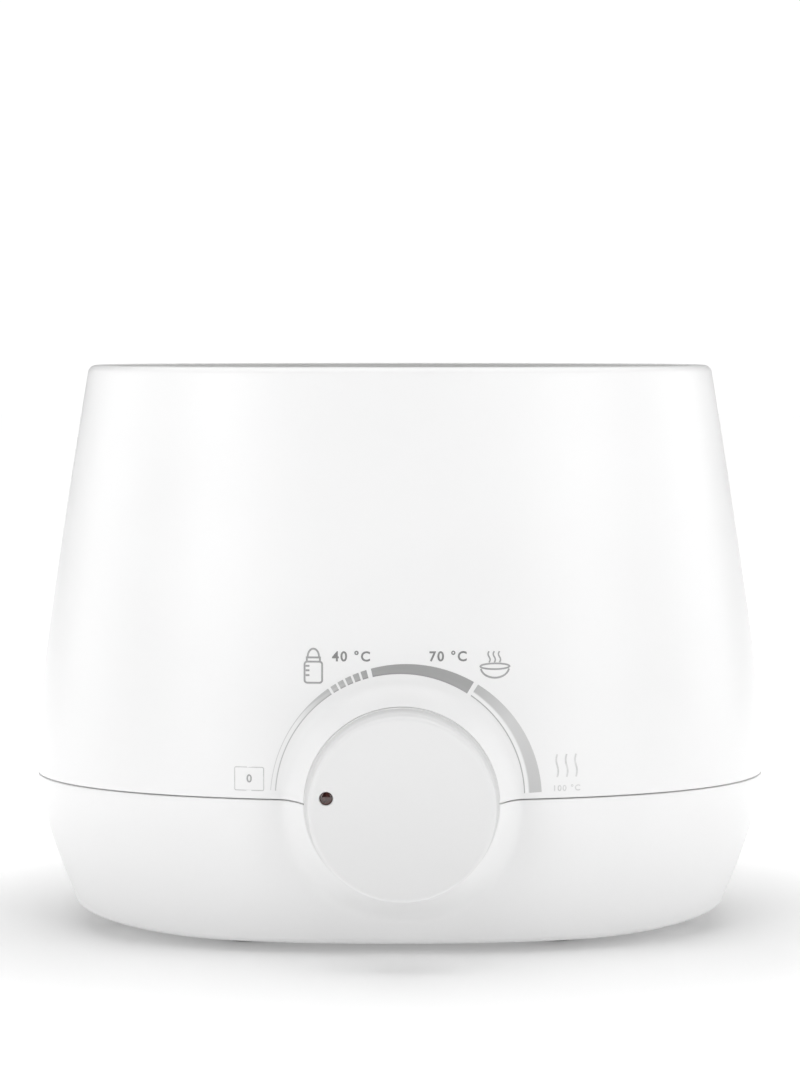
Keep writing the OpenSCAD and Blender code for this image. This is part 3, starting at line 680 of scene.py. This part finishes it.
def upper_shell():
    edge = SEAM_Z + SEAM_GAP / 2
    wall_top = BODY_H - RIM_ROUND
    rises = shell_heights(wall_top - edge, 60)
    top_row = next(k for k, r in enumerate(rises) if r > PATCH_RISE)
    bm = bmesh.new()
    outer, inner = shell_walls(bm, shell_ring, edge, 1, rises, top_row)
    rim = [shell_ring(RIM_ROUND * (1 - math.cos(t)), wall_top + RIM_ROUND * math.sin(t))
           for t in turn_steps(12, 91, 13)]
    rim += [shell_ring(LIP_W - LIP_ROUND * (1 - math.sin(t)),
                       BODY_H - LIP_ROUND * (1 - math.cos(t))) for t in turn_steps(0, 91, 15)]
    rim += [shell_ring(LIP_W, BODY_H - LIP_T), shell_ring(WALL, BODY_H - LIP_T)]
    rows = [outer[-1]] + [[bm.verts.new(p) for p in ring] for ring in rim] + [inner[-1]]
    for low, high in zip(rows, rows[1:]):
        bridge(bm, low, high)
    dial_patch(bm, outer, inner, rises, top_row, 1)
    return finish_mesh("upper_housing", bm, WHITE, "housing", ["upper_shell"])


def lower_shell():
    edge = SEAM_Z - SEAM_GAP / 2
    corner = BASE_Z + BASE_ROUND
    rises = shell_heights(edge - corner, 22)
    top_row = next(k for k, r in enumerate(rises) if r > PATCH_DROP)
    bm = bmesh.new()
    outer, inner = shell_walls(bm, swept_ring, edge, -1, rises, top_row)
    under = [swept_ring(BASE_ROUND * (1 - math.sin(t)), BASE_Z + BASE_ROUND * (1 - math.cos(t)))
             for t in turn_steps(78, -1, -13)]
    over = [swept_ring(WALL + 1 * MM, BASE_Z + FLOOR_T)]
    for last, rings, z in ((outer[-1], under, BASE_Z), (inner[-1], over, BASE_Z + FLOOR_T)):
        flat = oval_ring(BASE_FLAT_A, BASE_FLAT_B, BASE_FLAT_N, z)
        edge_ring = rings[-1]
        rings += [[p.lerp(q, k / 5) for p, q in zip(edge_ring, flat)] for k in range(1, 6)]
        rows = [last] + [[bm.verts.new(p) for p in ring] for ring in rings]
        for low, high in zip(rows, rows[1:]):
            bridge(bm, low, high)
        bm.faces.new(rows[-1])
    dial_patch(bm, outer, inner, rises, top_row, -1)
    return finish_mesh("lower_housing", bm, WHITE, "housing", ["lower_shell"])


def along_gland():
    """Places a shape drawn along +Z so that it points backward out of the gland's hole."""
    turn = Matrix.Rotation(-math.pi / 2, 4, "X")
    return Matrix.Translation((0, AXIS_Y + GLAND_FACE, GLAND_Z)) @ turn


def foot_place(name):
    """The middle of a foot, from the housing's axis."""
    low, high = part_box(name)
    return (low.x + high.x) / 2, (low.y + high.y) / 2 - AXIS_Y


def fit_upper(shell):
    """The posts that take the screws, and the hole for the light under the dial."""
    low, high = POST_TOP + 0.2 * MM, POST_TOP + 20.2 * MM
    bm = bmesh.new()
    for x, y in SHELL_POSTS:
        rod(bm, x, y, low, high, POST_R)
    boolean(shell, bm, "UNION")
    bm = bmesh.new()
    for x, y in SHELL_POSTS:
        ends = sorted((math.copysign(104 * MM, x), math.copysign(BODY_W / 2 - 3 * MM, x)))
        block(bm, (ends[0], y - 1 * MM, low), (ends[1], y + 1 * MM, high))
    boolean(shell, bm, "UNION")
    bm = bmesh.new()
    for x, y in SHELL_POSTS:
        rod(bm, x, y, POST_TOP - 1 * MM, POST_TOP + 17 * MM, 1.7 * MM)
    lamp_r = 1.8 * MM
    lathe(bm, [(0, -3 * MM), (lamp_r, -3 * MM), (lamp_r, 2 * MM), (0, 2 * MM)], 48,
          Matrix.Translation((0, 0, POINTER_R)) @ along_dial(-DIAL_FLOOR))
    boolean(shell, bm, "DIFFERENCE")


def fit_lower(shell):
    """Posts, screw holes, seats for the feet, vents and the gland's pad and hole."""
    pad_r, pad_round = 11 * MM, 0.6 * MM
    bm = bmesh.new()
    for x, y in SHELL_POSTS:
        rod(bm, x, y, BASE_Z + END_LIFT, POST_TOP, POST_R)
    for x, y in TANK_POSTS:
        rod(bm, x, y, BASE_Z + 1 * MM, POST_TOP, POST_R)
    for x, y in BRACKET_POSTS:
        rod(bm, x, y, BASE_Z + 1 * MM, 12.5 * MM, 4 * MM)
    lathe(bm, [(0, -GLAND_PAD_T), (pad_r, -GLAND_PAD_T), (pad_r, -pad_round),
               (pad_r - pad_round, 0), (0, 0)], 64, along_gland())
    boolean(shell, bm, "UNION")

    head_r, head_top, screw_r = 3.9 * MM, 36 * MM, 2.2 * MM
    seat_r, seat_top, barb_r = 8.2 * MM, BASE_Z + 1 * MM, 2.5 * MM
    hole_r, flat_r, flat = 6.1 * MM, 10.5 * MM, 0.02 * MM
    bm = bmesh.new()
    for x, y in SHELL_POSTS + TANK_POSTS:
        lathe(bm, [(0, -1 * MM), (head_r, -1 * MM), (head_r, head_top), (screw_r, head_top),
                   (screw_r, POST_TOP + 1 * MM), (0, POST_TOP + 1 * MM)], 48, upright(x, y))
    for x, y in BRACKET_POSTS:
        rod(bm, x, y, BASE_Z + 3 * MM, 13 * MM, 1.3 * MM)
    for name in FEET:
        lathe(bm, [(0, -1 * MM), (seat_r, -1 * MM), (seat_r, seat_top), (barb_r, seat_top),
                   (barb_r, 10 * MM), (0, 10 * MM)], 48, upright(*foot_place(name)))
    for k in range(-4, 5):
        x = 10 * MM * k
        block(bm, (x - 1.5 * MM, -22 * MM, 0), (x + 1.5 * MM, 22 * MM, 10 * MM))
    lathe(bm, [(0, -15 * MM), (hole_r, -15 * MM), (hole_r, flat), (flat_r, flat),
               (flat_r, 10 * MM), (0, 10 * MM)], 64, along_gland())
    boolean(shell, bm, "DIFFERENCE")


fit_upper(upper_shell())
fit_lower(lower_shell())

# ---- feet and gland ----


def foot(name):
    """A turned rubber foot: round edge, shallow hollow below, and a barb through the floor."""
    r, neck = 8 * MM, 2.3 * MM
    top, barb = BASE_Z + 0.95 * MM, BASE_Z + FLOOR_T
    profile = [(0, 0.3 * MM), (r * 0.5, 0.3 * MM), (r * 0.56, 0)]
    profile += arc(r - 1.2 * MM, 1.2 * MM, 1.2 * MM, -90, 0, 6)
    profile += [(r, top), (neck, top), (neck, barb + 0.2 * MM), (3.2 * MM, barb + 0.4 * MM),
                (neck, barb + 3 * MM), (0, barb + 3 * MM)]
    bm = bmesh.new()
    lathe(bm, profile, 64, upright(*foot_place(name)))
    finish_mesh("rubber_" + name, bm, RUBBER, "housing", [name])


def gland():
    """The bushing for the mains lead: a grooved round head with a flared mouth, and a shank."""
    back = -(GLAND_PAD_T + 5.5 * MM)
    bore, shank, r, head = 3.5 * MM, 6 * MM, 9 * MM, 2.85 * MM
    seat, groove = 0.05 * MM, r - 0.3 * MM
    profile = [(bore, back), (shank, back), (shank, seat), (r, seat), (r, 0.7 * MM),
               (groove, 0.85 * MM), (groove, 1.15 * MM), (r, 1.3 * MM)]
    profile += arc(r - 1 * MM, head - 1 * MM, 1 * MM, 0, 90, 6)
    profile += [(5.2 * MM, head), (4.1 * MM, head - 0.3 * MM), (3.6 * MM, head - 0.9 * MM),
                (bore, head - 1.6 * MM)]
    bm = bmesh.new()
    lathe(bm, profile, 96, along_gland())
    finish_mesh("lead_gland", bm, GLAND, "housing", ["cord_gland"])


for foot_name in FEET:
    foot(foot_name)
gland()

# ---- tank and its seal ----

TANK_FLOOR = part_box("heater_plate")[1].z
TANK_WALL = 2.2 * MM
TANK_ROUND = 5 * MM
TANK_LOW_A = 92.5 * MM
FLANGE_T = 2.4 * MM
HEATER_HOLE = 31 * MM


def tank_ring(grow, z):
    """A ring of the tank's inner wall, let out by grow, from a fuller oval below to the rim's."""
    t = min(1.0, max(0.0, (z - TANK_FLOOR) / (TANK_TOP - TANK_FLOOR)))
    a = TANK_LOW_A + (half_w(TANK_TOP) - LIP_W - 0.6 * MM - TANK_LOW_A) * t ** 1.2
    b = a - (BODY_W - BODY_D) / 2 + 5.5 * MM * (1 - t)
    return oval_ring(a + grow, b + grow, 2.7 + (PLAN_N - 2.7) * t, z)


def tank():
    low = TANK_FLOOR + TANK_ROUND
    under = TANK_FLOOR - 2.5 * MM
    flange = TANK_TOP - FLANGE_T
    top_a, top_b = half_w(TANK_TOP) - WALL - 0.8 * MM, half_d(TANK_TOP) - WALL - 0.8 * MM
    steps = [low + (TANK_TOP - low) * k / 40 for k in range(41)]
    rings = [oval_ring(HEATER_HOLE, HEATER_HOLE, 2, under)]
    rings += [tank_ring(-2.2 * TANK_WALL, under), tank_ring(-1.2 * TANK_WALL, under + 2 * MM)]
    rings += [tank_ring(TANK_WALL, z) for z in steps if z < flange] + [tank_ring(TANK_WALL, flange)]
    rings += [oval_ring(top_a, top_b, PLAN_N, flange), oval_ring(top_a, top_b, PLAN_N, TANK_TOP)]
    rings += [tank_ring(0, z) for z in reversed(steps)]
    rings += [tank_ring(-TANK_ROUND * (1 - math.cos(t)), low - TANK_ROUND * math.sin(t))
              for t in turn_steps(12, 91, 13)]
    rings += [oval_ring(HEATER_HOLE + 3 * MM, HEATER_HOLE + 3 * MM, 2, TANK_FLOOR),
              oval_ring(HEATER_HOLE, HEATER_HOLE, 2, TANK_FLOOR)]
    bm = bmesh.new()
    closed_skin(bm, rings)
    finish_mesh("tank_liner", bm, TANK_WHITE, "housing", ["tank"])


def rim_seal():
    """A flat seal under the lip, with a thin edge that stands up inside the lip."""
    low, top = seal_low.z, seal_high.z
    high = BODY_H - LIP_T - 0.05 * MM
    side, edge, turn = LIP_W + 0.05 * MM, LIP_W + 0.8 * MM, 0.3 * MM
    profile = [(WALL + 1 * MM, low), (WALL + 1 * MM, high), (side, high), (side, top - turn)]
    profile += arc(side + turn, top - turn, turn, 180, 90, 4)[1:]
    profile += arc(edge - turn, top - turn, turn, 90, 0, 4) + [(edge, low)]
    bm = bmesh.new()
    closed_skin(bm, [shell_ring(inset, z) for inset, z in profile])
    finish_mesh("rim_seal_ring", bm, SILICONE, "housing", ["rim_seal"])


tank()
rim_seal()

# ---- bottle rack ----

CUP_R = 35.5 * MM
CUP_WALL = 2 * MM


def slot_cutter(bm, place, r, low, high, width):
    """An upright slot with round ends through the cup's wall, at the angle given by place."""
    half = width / 2
    outline = arc(0, high - half, half, 0, 180, 8) + arc(0, low + half, half, 180, 360, 8)
    sides = [[bm.verts.new(place @ Vector((depth, y, z))) for y, z in outline]
             for depth in (r - 4 * MM, r + 6 * MM)]
    bm.faces.new(sides[0])
    bm.faces.new(sides[1])
    bridge(bm, sides[0], sides[1])


def bottle_cup(name):
    """A slotted cup with a rounded rim, drain holes in its floor and three short legs."""
    low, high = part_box(name)
    centre = (low.x + high.x) / 2
    bottom, top = low.z + 2.7 * MM, high.z
    floor, outer = bottom + 2.5 * MM, CUP_R + CUP_WALL
    rim = outer + 0.8 * MM
    profile = [(9 * MM, bottom)] + arc(outer - 1 * MM, bottom + 1 * MM, 1 * MM, -90, 0, 5)
    profile += [(outer, top - 3.4 * MM), (rim - 0.2 * MM, top - 3 * MM), (rim, top - 2.6 * MM)]
    profile += arc(rim - 1 * MM, top - 1 * MM, 1 * MM, 0, 90, 5)
    profile += arc(CUP_R + 0.8 * MM, top - 0.8 * MM, 0.8 * MM, 90, 180, 5)
    profile += arc(CUP_R - 2 * MM, floor + 2 * MM, 2 * MM, 0, -90, 5) + [(9 * MM, floor)]
    bm = bmesh.new()
    lathe(bm, profile, 128, upright(centre, 0))
    cup = finish_mesh(name + "_moulding", bm, RACK_WHITE, "rack", [name])
    facing = math.pi if centre < 0 else 0
    bm = bmesh.new()
    for a in (60, 180, 300):
        turn = math.radians(a) + facing
        x, y = centre + 30 * MM * math.cos(turn), 30 * MM * math.sin(turn)
        rod(bm, x, y, low.z, bottom + 1.3 * MM, 2.5 * MM)
    boolean(cup, bm, "UNION")
    bm = bmesh.new()
    for a in range(30, 151, 30):
        for side in (-1, 1):
            place = upright(centre, 0) @ Matrix.Rotation(math.radians(side * a), 4, "Z")
            slot_cutter(bm, place, CUP_R, bottom + 14 * MM, top - 14 * MM, 6.4 * MM)
    for a in range(0, 360, 60):
        x, y = centre + 20 * MM * math.cos(math.radians(a)), 20 * MM * math.sin(math.radians(a))
        rod(bm, x, y, bottom - 1 * MM, floor + 3 * MM, 5 * MM)
    boolean(cup, bm, "DIFFERENCE")


def rack_handle():
    """The handle between the cups, with its sharp edges rounded."""
    source = frame["nodes"]["rack_handle"]
    bm = bmesh.new()
    bm.from_mesh(source.data)
    bm.transform(source.matrix_world)
    bmesh.ops.remove_doubles(bm, verts=bm.verts, dist=0.01 * MM)
    bmesh.ops.dissolve_limit(bm, angle_limit=math.radians(1), verts=bm.verts, edges=bm.edges)
    sharp = [e for e in bm.edges
             if len(e.link_faces) == 2 and e.calc_face_angle(0) > math.radians(40)]
    bmesh.ops.bevel(bm, geom=sharp, offset=0.8 * MM, segments=3, affect="EDGES", clamp_overlap=True)
    finish_mesh("rack_handle_moulding", bm, RACK_WHITE, "rack", ["rack_handle"])


bottle_cup("cup_left")
bottle_cup("cup_right")
rack_handle()

# ---- dial ----

FACE = -KNOB_FRONT
POINTER_ANGLE = math.radians(171)
DOT_R = 2.2 * MM


def dial_knob():
    """Drawn along +Z from the housing's axis: a flat face with a round edge, straight sides
    and a small flange that lies over the collar's crest."""
    back = AXIS_Y - knob_high.y
    skirt = BODY_D / 2 + 2 * MM
    face_t, wall, round_r = 2.5 * MM, 2 * MM, 1.5 * MM
    flange_t, edge_r, fillet = 1.6 * MM, 0.4 * MM, 1.2 * MM
    side_r = KNOB_R - 1.4 * MM
    flange = 0.4 * MM - COLLAR_FRONT
    inner = FACE - face_t
    boss_r, bore_r, bore = 6.5 * MM, 3.05 * MM, FACE - 5.4 * MM
    profile = [(0, FACE), (side_r * 0.5, FACE)]
    profile += arc(side_r - round_r, FACE - round_r, round_r, 90, 0, 10)
    profile += arc(side_r + fillet, flange + flange_t + fillet, fillet, 180, 260, 6)
    profile += arc(KNOB_R - edge_r, flange + flange_t - edge_r, edge_r, 70, 0, 4)
    profile += [(KNOB_R, flange + 0.15 * MM), (KNOB_R - 0.15 * MM, flange), (side_r, flange),
                (side_r, skirt), (side_r - wall, skirt), (side_r - wall - 0.5 * MM, inner),
                (boss_r, inner), (boss_r, back), (bore_r, back), (bore_r, bore), (0, bore)]
    bm = bmesh.new()
    lathe(bm, profile, 192, along_dial(0))
    return finish_mesh("dial_knob", bm, KNOB_WHITE, "dial", ["knob"])


def pointer_place():
    """Places a shape drawn along +Z from the housing's axis, forward through the pointer light."""
    x, z = POINTER_R * math.cos(POINTER_ANGLE), POINTER_R * math.sin(POINTER_ANGLE)
    return Matrix.Translation((x, 0, z)) @ along_dial(0)


def pointer_lens():
    """A rod with a low dome, a little behind the knob's face."""
    profile = [(DOT_R * math.sin(t), FACE - 0.75 * MM + 0.55 * MM * math.cos(t))
               for t in turn_steps(0, 91, 15)]
    profile += [(DOT_R, FACE - 17 * MM), (0, FACE - 17 * MM)]
    bm = bmesh.new()
    lathe(bm, profile, 48, pointer_place())
    finish_mesh("pointer_light_lens", bm, LENS, "dial", ["pointer_lens"], sharp=50)


def cut_lens_hole(knob):
    """A hole for the lens, with a countersink at the face."""
    r = DOT_R + 0.05 * MM
    bm = bmesh.new()
    lathe(bm, [(0, FACE + 1 * MM), (DOT_R + 1.3 * MM, FACE + 1 * MM), (DOT_R + 0.3 * MM, FACE),
               (r, FACE - 0.3 * MM), (r, FACE - 5 * MM), (0, FACE - 5 * MM)], 48, pointer_place())
    boolean(knob, bm, "DIFFERENCE")


cut_lens_hole(dial_knob())
pointer_lens()

# ---- printing on the front ----

PRINT_LIFT = 0.05 * MM
PRINT_T = 0.07 * MM

# The scale's stretches, in degrees about the dial's axis, from off at the left to the right.
DASHES = [(122.1 - 3.6 * k, 119.5 - 3.6 * k) for k in range(5)]
STRETCHES = [(175.8, 123.3), *DASHES, (103.1, 58.5), (56.5, 3.0)]


def print_sheet(name, polygons, material):
    """Flat outlines in (x, height above the dial's axis), laid on the front wall as thin films."""
    bm = bmesh.new()
    for outline in polygons:
        bm.faces.new([bm.verts.new((x, 0, SEAM_Z + z)) for x, z in outline])
    bmesh.ops.triangulate(bm, faces=bm.faces)
    for v in bm.verts:
        v.co.y = AXIS_Y + front_y(v.co.x, v.co.z) - PRINT_LIFT
    solid = bmesh.ops.extrude_face_region(bm, geom=bm.faces[:])
    for part in solid["geom"]:
        if isinstance(part, bmesh.types.BMVert):
            part.co.y += PRINT_T
    return finish_mesh(name, bm, material, "housing", sharp=60)


def on_circle(circle, a):
    """Where the ray at an angle from the dial's axis meets one of the scale's circles."""
    cx, cz, r = circle
    c, s = math.cos(math.radians(a)), math.sin(math.radians(a))
    reach = cx * c + cz * s + math.sqrt(r * r - (cx * s - cz * c) ** 2)
    return reach * c, reach * s


def blend(p, q, t):
    return p[0] + (q[0] - p[0]) * t, p[1] + (q[1] - p[1]) * t


def band(start, end, layers=5):
    """Small quads of the scale from one angle down to another."""
    count = max(2, round(abs(start - end) / 1.2))
    angles = [start + (end - start) * k / count for k in range(count + 1)]
    outer = [on_circle(SCALE_OUTER, a) for a in angles]
    inner = [on_circle(SCALE_INNER, a) for a in angles]
    return [[blend(outer[k], inner[k], j / layers), blend(outer[k + 1], inner[k + 1], j / layers),
             blend(outer[k + 1], inner[k + 1], (j + 1) / layers),
             blend(outer[k], inner[k], (j + 1) / layers)]
            for k in range(count) for j in range(layers)]


def stroke(points, width, closed=False):
    """A line of even width along points in the sheet's own millimetres, as quads."""
    pts = [Vector((x * MM, z * MM)) for x, z in points]
    n = len(pts)
    sides = []
    for k, p in enumerate(pts):
        before = pts[k - 1] if k or closed else p
        after = pts[(k + 1) % n] if k < n - 1 or closed else p
        d_in, d_out = p - before, after - p
        d_in = d_in.normalized() if d_in.length else d_out.normalized()
        d_out = d_out.normalized() if d_out.length else d_in
        middle = (d_in + d_out).normalized()
        square = Vector((-middle.y, middle.x))
        lean = max(0.5, middle.dot(d_out))
        off = square * (width * MM / 2 / lean)
        sides.append((tuple(p + off), tuple(p - off)))
    last = n if closed else n - 1
    return [[sides[k][0], sides[(k + 1) % n][0], sides[(k + 1) % n][1], sides[k][1]]
            for k in range(last)]


def round_box(x0, z0, x1, z1, r):
    """A rectangle with round corners, anticlockwise from its lower left corner."""
    rounds = ((x0 + r, z0 + r, 180), (x1 - r, z0 + r, 270), (x1 - r, z1 - r, 0),
              (x0 + r, z1 - r, 90))
    return [p for cx, cz, a in rounds for p in ellipse(cx, cz, r, r, a, a + 90, 4)]


def wave(x, z0, z1, swing, steps=12):
    """A rising curl of steam."""
    return [(x + swing * math.sin(2 * math.pi * k / steps), z0 + (z1 - z0) * k / steps)
            for k in range(steps + 1)]


def bottle_icon(x, z):
    """A feeding bottle with its teat, its collar and three level marks."""
    body = round_box(x - 2.95, z, x + 2.95, z + 7.0, 0.9)
    collar = [(x - 2.2, z + 7.2), (x - 2.2, z + 8.4), (x + 2.2, z + 8.4), (x + 2.2, z + 7.2)]
    teat = ellipse(x, z + 8.6, 1.9, 2.7, 180, 0, 14)
    marks = [[(x - 2.6, h), (x - 1.3, h)] for h in (z + 5.6, z + 4.1, z + 2.5)]
    lines = [(body, True), (collar, False), (teat, False)] + [(m, False) for m in marks]
    return [quad for points, closed in lines for quad in stroke(points, 0.62, closed)]


def steam(x, z0, z1, pitch, width):
    """Three rising curls side by side."""
    return [quad for k in (-1, 0, 1)
            for quad in stroke(wave(x + k * pitch, z0, z1, 0.35), width)]


def bowl_icon(x, z):
    """A bowl of food with three curls of steam."""
    rim = ellipse(x, z + 4.0, 4.9, 0.95, 0, 360, 28)[:-1]
    bowl = ellipse(x, z + 3.7, 4.75, 3.5, 188, 352, 18)
    return (stroke(rim, 0.55, True) + stroke(bowl, 0.62)
            + steam(x - 0.2, z + 5.3, z + 9.0, 1.75, 0.5))


def caption(text, x, z, height):
    """Outlines of a number centred on x, standing on z, with the given height of its digits."""
    curve = bpy.data.curves.new("caption", "FONT")
    curve.body = text
    curve.offset = 0.022
    curve.space_character = 1.2
    curve.resolution_u = 4
    holder = bpy.data.objects.new("caption", curve)
    bpy.context.scene.collection.objects.link(holder)
    bpy.context.view_layer.update()
    mesh = bpy.data.meshes.new_from_object(holder)
    points = [v.co for v in mesh.vertices]
    low, high = min(p.y for p in points), max(p.y for p in points)
    left, right = min(p.x for p in points), max(p.x for p in points)
    scale = height * MM / (high - low)
    place = [((p.x - (left + right) / 2) * scale + x * MM, (p.y - low) * scale + z * MM)
             for p in points]
    faces = [[place[k] for k in f.vertices] for f in mesh.polygons]
    bpy.data.objects.remove(holder)
    bpy.data.meshes.remove(mesh)
    bpy.data.curves.remove(curve)
    return faces


def scale_print():
    cells = [cell for start, end in STRETCHES for cell in band(start, end)]
    print_sheet("dial_scale", cells, FOIL)


def captions_and_icons():
    """Places and heights are in millimetres from the dial's axis."""
    print_sheet("icon_bottle", bottle_icon(-29.5, 39.3), INK)
    print_sheet("icon_bowl", bowl_icon(31.3, 40.7), INK)
    print_sheet("caption_warm", caption("40 \u00b0C", -16.9, 46.4, 3.6), DARK_INK)
    print_sheet("caption_heat", caption("70 \u00b0C", 15.6, 46.4, 3.6), DARK_INK)
    print_sheet("caption_steam", caption("100 \u00b0C", 55.7, 2.5, 2.2), FAINT_INK)
    print_sheet("icon_steam", steam(55.5, 7.3, 15.0, 3.2, 0.6), FAINT_INK)
    print_sheet("caption_off", caption("0", -51.1, 5.6, 2.8), INK)
    frame_box = round_box(-56.0, 3.0, -46.2, 10.8, 0.5)
    print_sheet("box_off", stroke(frame_box, 0.32, True), PALE_INK)


scale_print()
captions_and_icons()

# ---- carried-over pieces: better materials ----

CARRIED = (
    (ZINC, ["heater_clamp_ring", "clamp_screws", "fuse_clip", "bulb_clip", "thermostat_bracket",
            "bushing_nut", "bracket_screws", "spindle", "hub_ring", "shell_screws",
            "tank_screws"]),
    (BRASS, ["element_pins", "thermostat_terminals", "terminal_screws"]),
    (COPPER, ["sensor_bulb", "capillary_tube"]),
    (CERAMIC, ["thermal_fuse", "thermostat_body"]),
    (GUIDE, ["light_ring", "led"]),
    (PVC_BROWN, ["wire_live", "wire_fuse", "wire_heater"]),
    (PVC_BLUE, ["wire_neutral"]),
    (PVC_RED, ["led_leads"]),
    (STEEL, ["heater_plate"]),
    (SILICONE, ["heater_gasket"]),
    (SHEATH, ["heating_element"]),
    (BOARD, ["led_board"]),
    (GLAND, ["gland_nut"]),
    (BLOCK, ["terminal_block"]),
)
for material, node_names in CARRIED:
    for node_name in node_names:
        slots = frame["nodes"][node_name].data.materials
        slots.clear()
        slots.append(material)

# ---- floor, light and camera ----

# The floor's glow near the object and far off, and the stretch over which it changes; the weaker
# glow near the object is painted shade round it.
FLOOR_SIZE = 6
FLOOR_NEAR, FLOOR_FAR = 0.12, 0.98
GLOW_START, GLOW_END = 0.1, 0.36

# How bright the white room is as a light, and as the backdrop that the camera sees.
WORLD_LIGHT, BACKDROP = 0.02, 1.3

# Each light's place, size and power.
LIGHTS = {
    "top": ((0, 0.0, 1.3), (1.6, 1.2), 13.4),
    "left": ((-1.3, -1.8, 0.7), (0.7, 1.4), 9.7),
    "right": ((1.3, -1.8, 0.7), (0.7, 1.4), 8.1),
    "side_left": ((-1.8, 0.0, 0.7), (1.2, 1.4), 6.8),
    "side_right": ((1.8, 0.0, 0.7), (1.2, 1.4), 8.3),
}

LENS_LENGTH, SENSOR = 95.85, 36
CAMERA_ASIDE, CAMERA_DISTANCE, CAMERA_HEIGHT = -7 * MM, 1.0408, 0.2140
CAMERA_PITCH = math.radians(-4.337)


def floor():
    """White paper with a glow of its own: weak close to the object, where the lamps light and shade
    it, rising to an even brightness further away, so the floor round the object is painted darker
    than the floor far off.
    """
    bm = bmesh.new()
    bmesh.ops.create_grid(bm, x_segments=1, y_segments=1, size=FLOOR_SIZE)
    obj = new_object("floor", bm)
    mat, nodes, links, shader = new_material("floor_white", (0.92, 0.92, 0.92), 0.7)
    coord = nodes.new("ShaderNodeTexCoord")
    reach = nodes.new("ShaderNodeVectorMath")
    reach.operation = "LENGTH"
    links.new(coord.outputs["Object"], reach.inputs[0])
    # Painted shade: the glow is weak near the object and rises with the distance from it.
    grow = smooth_step(nodes, links, reach.outputs["Value"], GLOW_START, GLOW_END)
    more = calc(nodes, links, "MULTIPLY", grow, FLOOR_FAR - FLOOR_NEAR)
    glow = calc(nodes, links, "ADD", more, FLOOR_NEAR)
    shader.inputs["Emission Color"].default_value = (1, 1, 1, 1)
    links.new(glow, shader.inputs["Emission Strength"])
    obj.data.materials.append(mat)


def soft_light(name, place, size, power):
    """A rectangular light that faces the object."""
    data = bpy.data.lights.new(name, "AREA")
    data.shape = "RECTANGLE"
    data.size, data.size_y = size
    data.energy = power
    obj = bpy.data.objects.new(name, data)
    obj.location = place
    aim = Vector((0, 0, 0.1)) - Vector(place)
    obj.rotation_euler = aim.to_track_quat("-Z", "Y").to_euler()
    bpy.context.scene.collection.objects.link(obj)


def studio():
    """An even white room; only its light, not its white backdrop, is dimmed."""
    world = bpy.data.worlds.new("studio")
    bpy.context.scene.world = world
    world.use_nodes = True
    nodes, links = world.node_tree.nodes, world.node_tree.links
    shade = nodes["Background"]
    shade.inputs["Color"].default_value = (1, 1, 1, 1)
    shade.inputs["Strength"].default_value = WORLD_LIGHT
    white = nodes.new("ShaderNodeBackground")
    white.inputs["Strength"].default_value = BACKDROP
    seen = nodes.new("ShaderNodeLightPath")
    pick = nodes.new("ShaderNodeMixShader")
    links.new(seen.outputs["Is Camera Ray"], pick.inputs["Fac"])
    links.new(shade.outputs[0], pick.inputs[1])
    links.new(white.outputs[0], pick.inputs[2])
    links.new(pick.outputs[0], nodes["World Output"].inputs["Surface"])
    for name, (place, size, power) in LIGHTS.items():
        soft_light(name, place, size, power)


def camera():
    """In front, a little above the rim, looking slightly down."""
    data = bpy.data.cameras.new("camera")
    data.lens = LENS_LENGTH
    data.sensor_width = SENSOR
    data.clip_start = 0.05
    data.clip_end = 60
    obj = bpy.data.objects.new("camera", data)
    obj.location = (CAMERA_ASIDE, AXIS_Y - CAMERA_DISTANCE, CAMERA_HEIGHT)
    yaw = math.atan2(CAMERA_ASIDE, CAMERA_DISTANCE)
    obj.rotation_euler = (math.pi / 2 + CAMERA_PITCH, 0, yaw)
    bpy.context.scene.collection.objects.link(obj)
    bpy.context.scene.camera = obj


floor()
studio()
camera()
view = bpy.context.scene.view_settings
view.view_transform = "Standard"
view.look = "None"
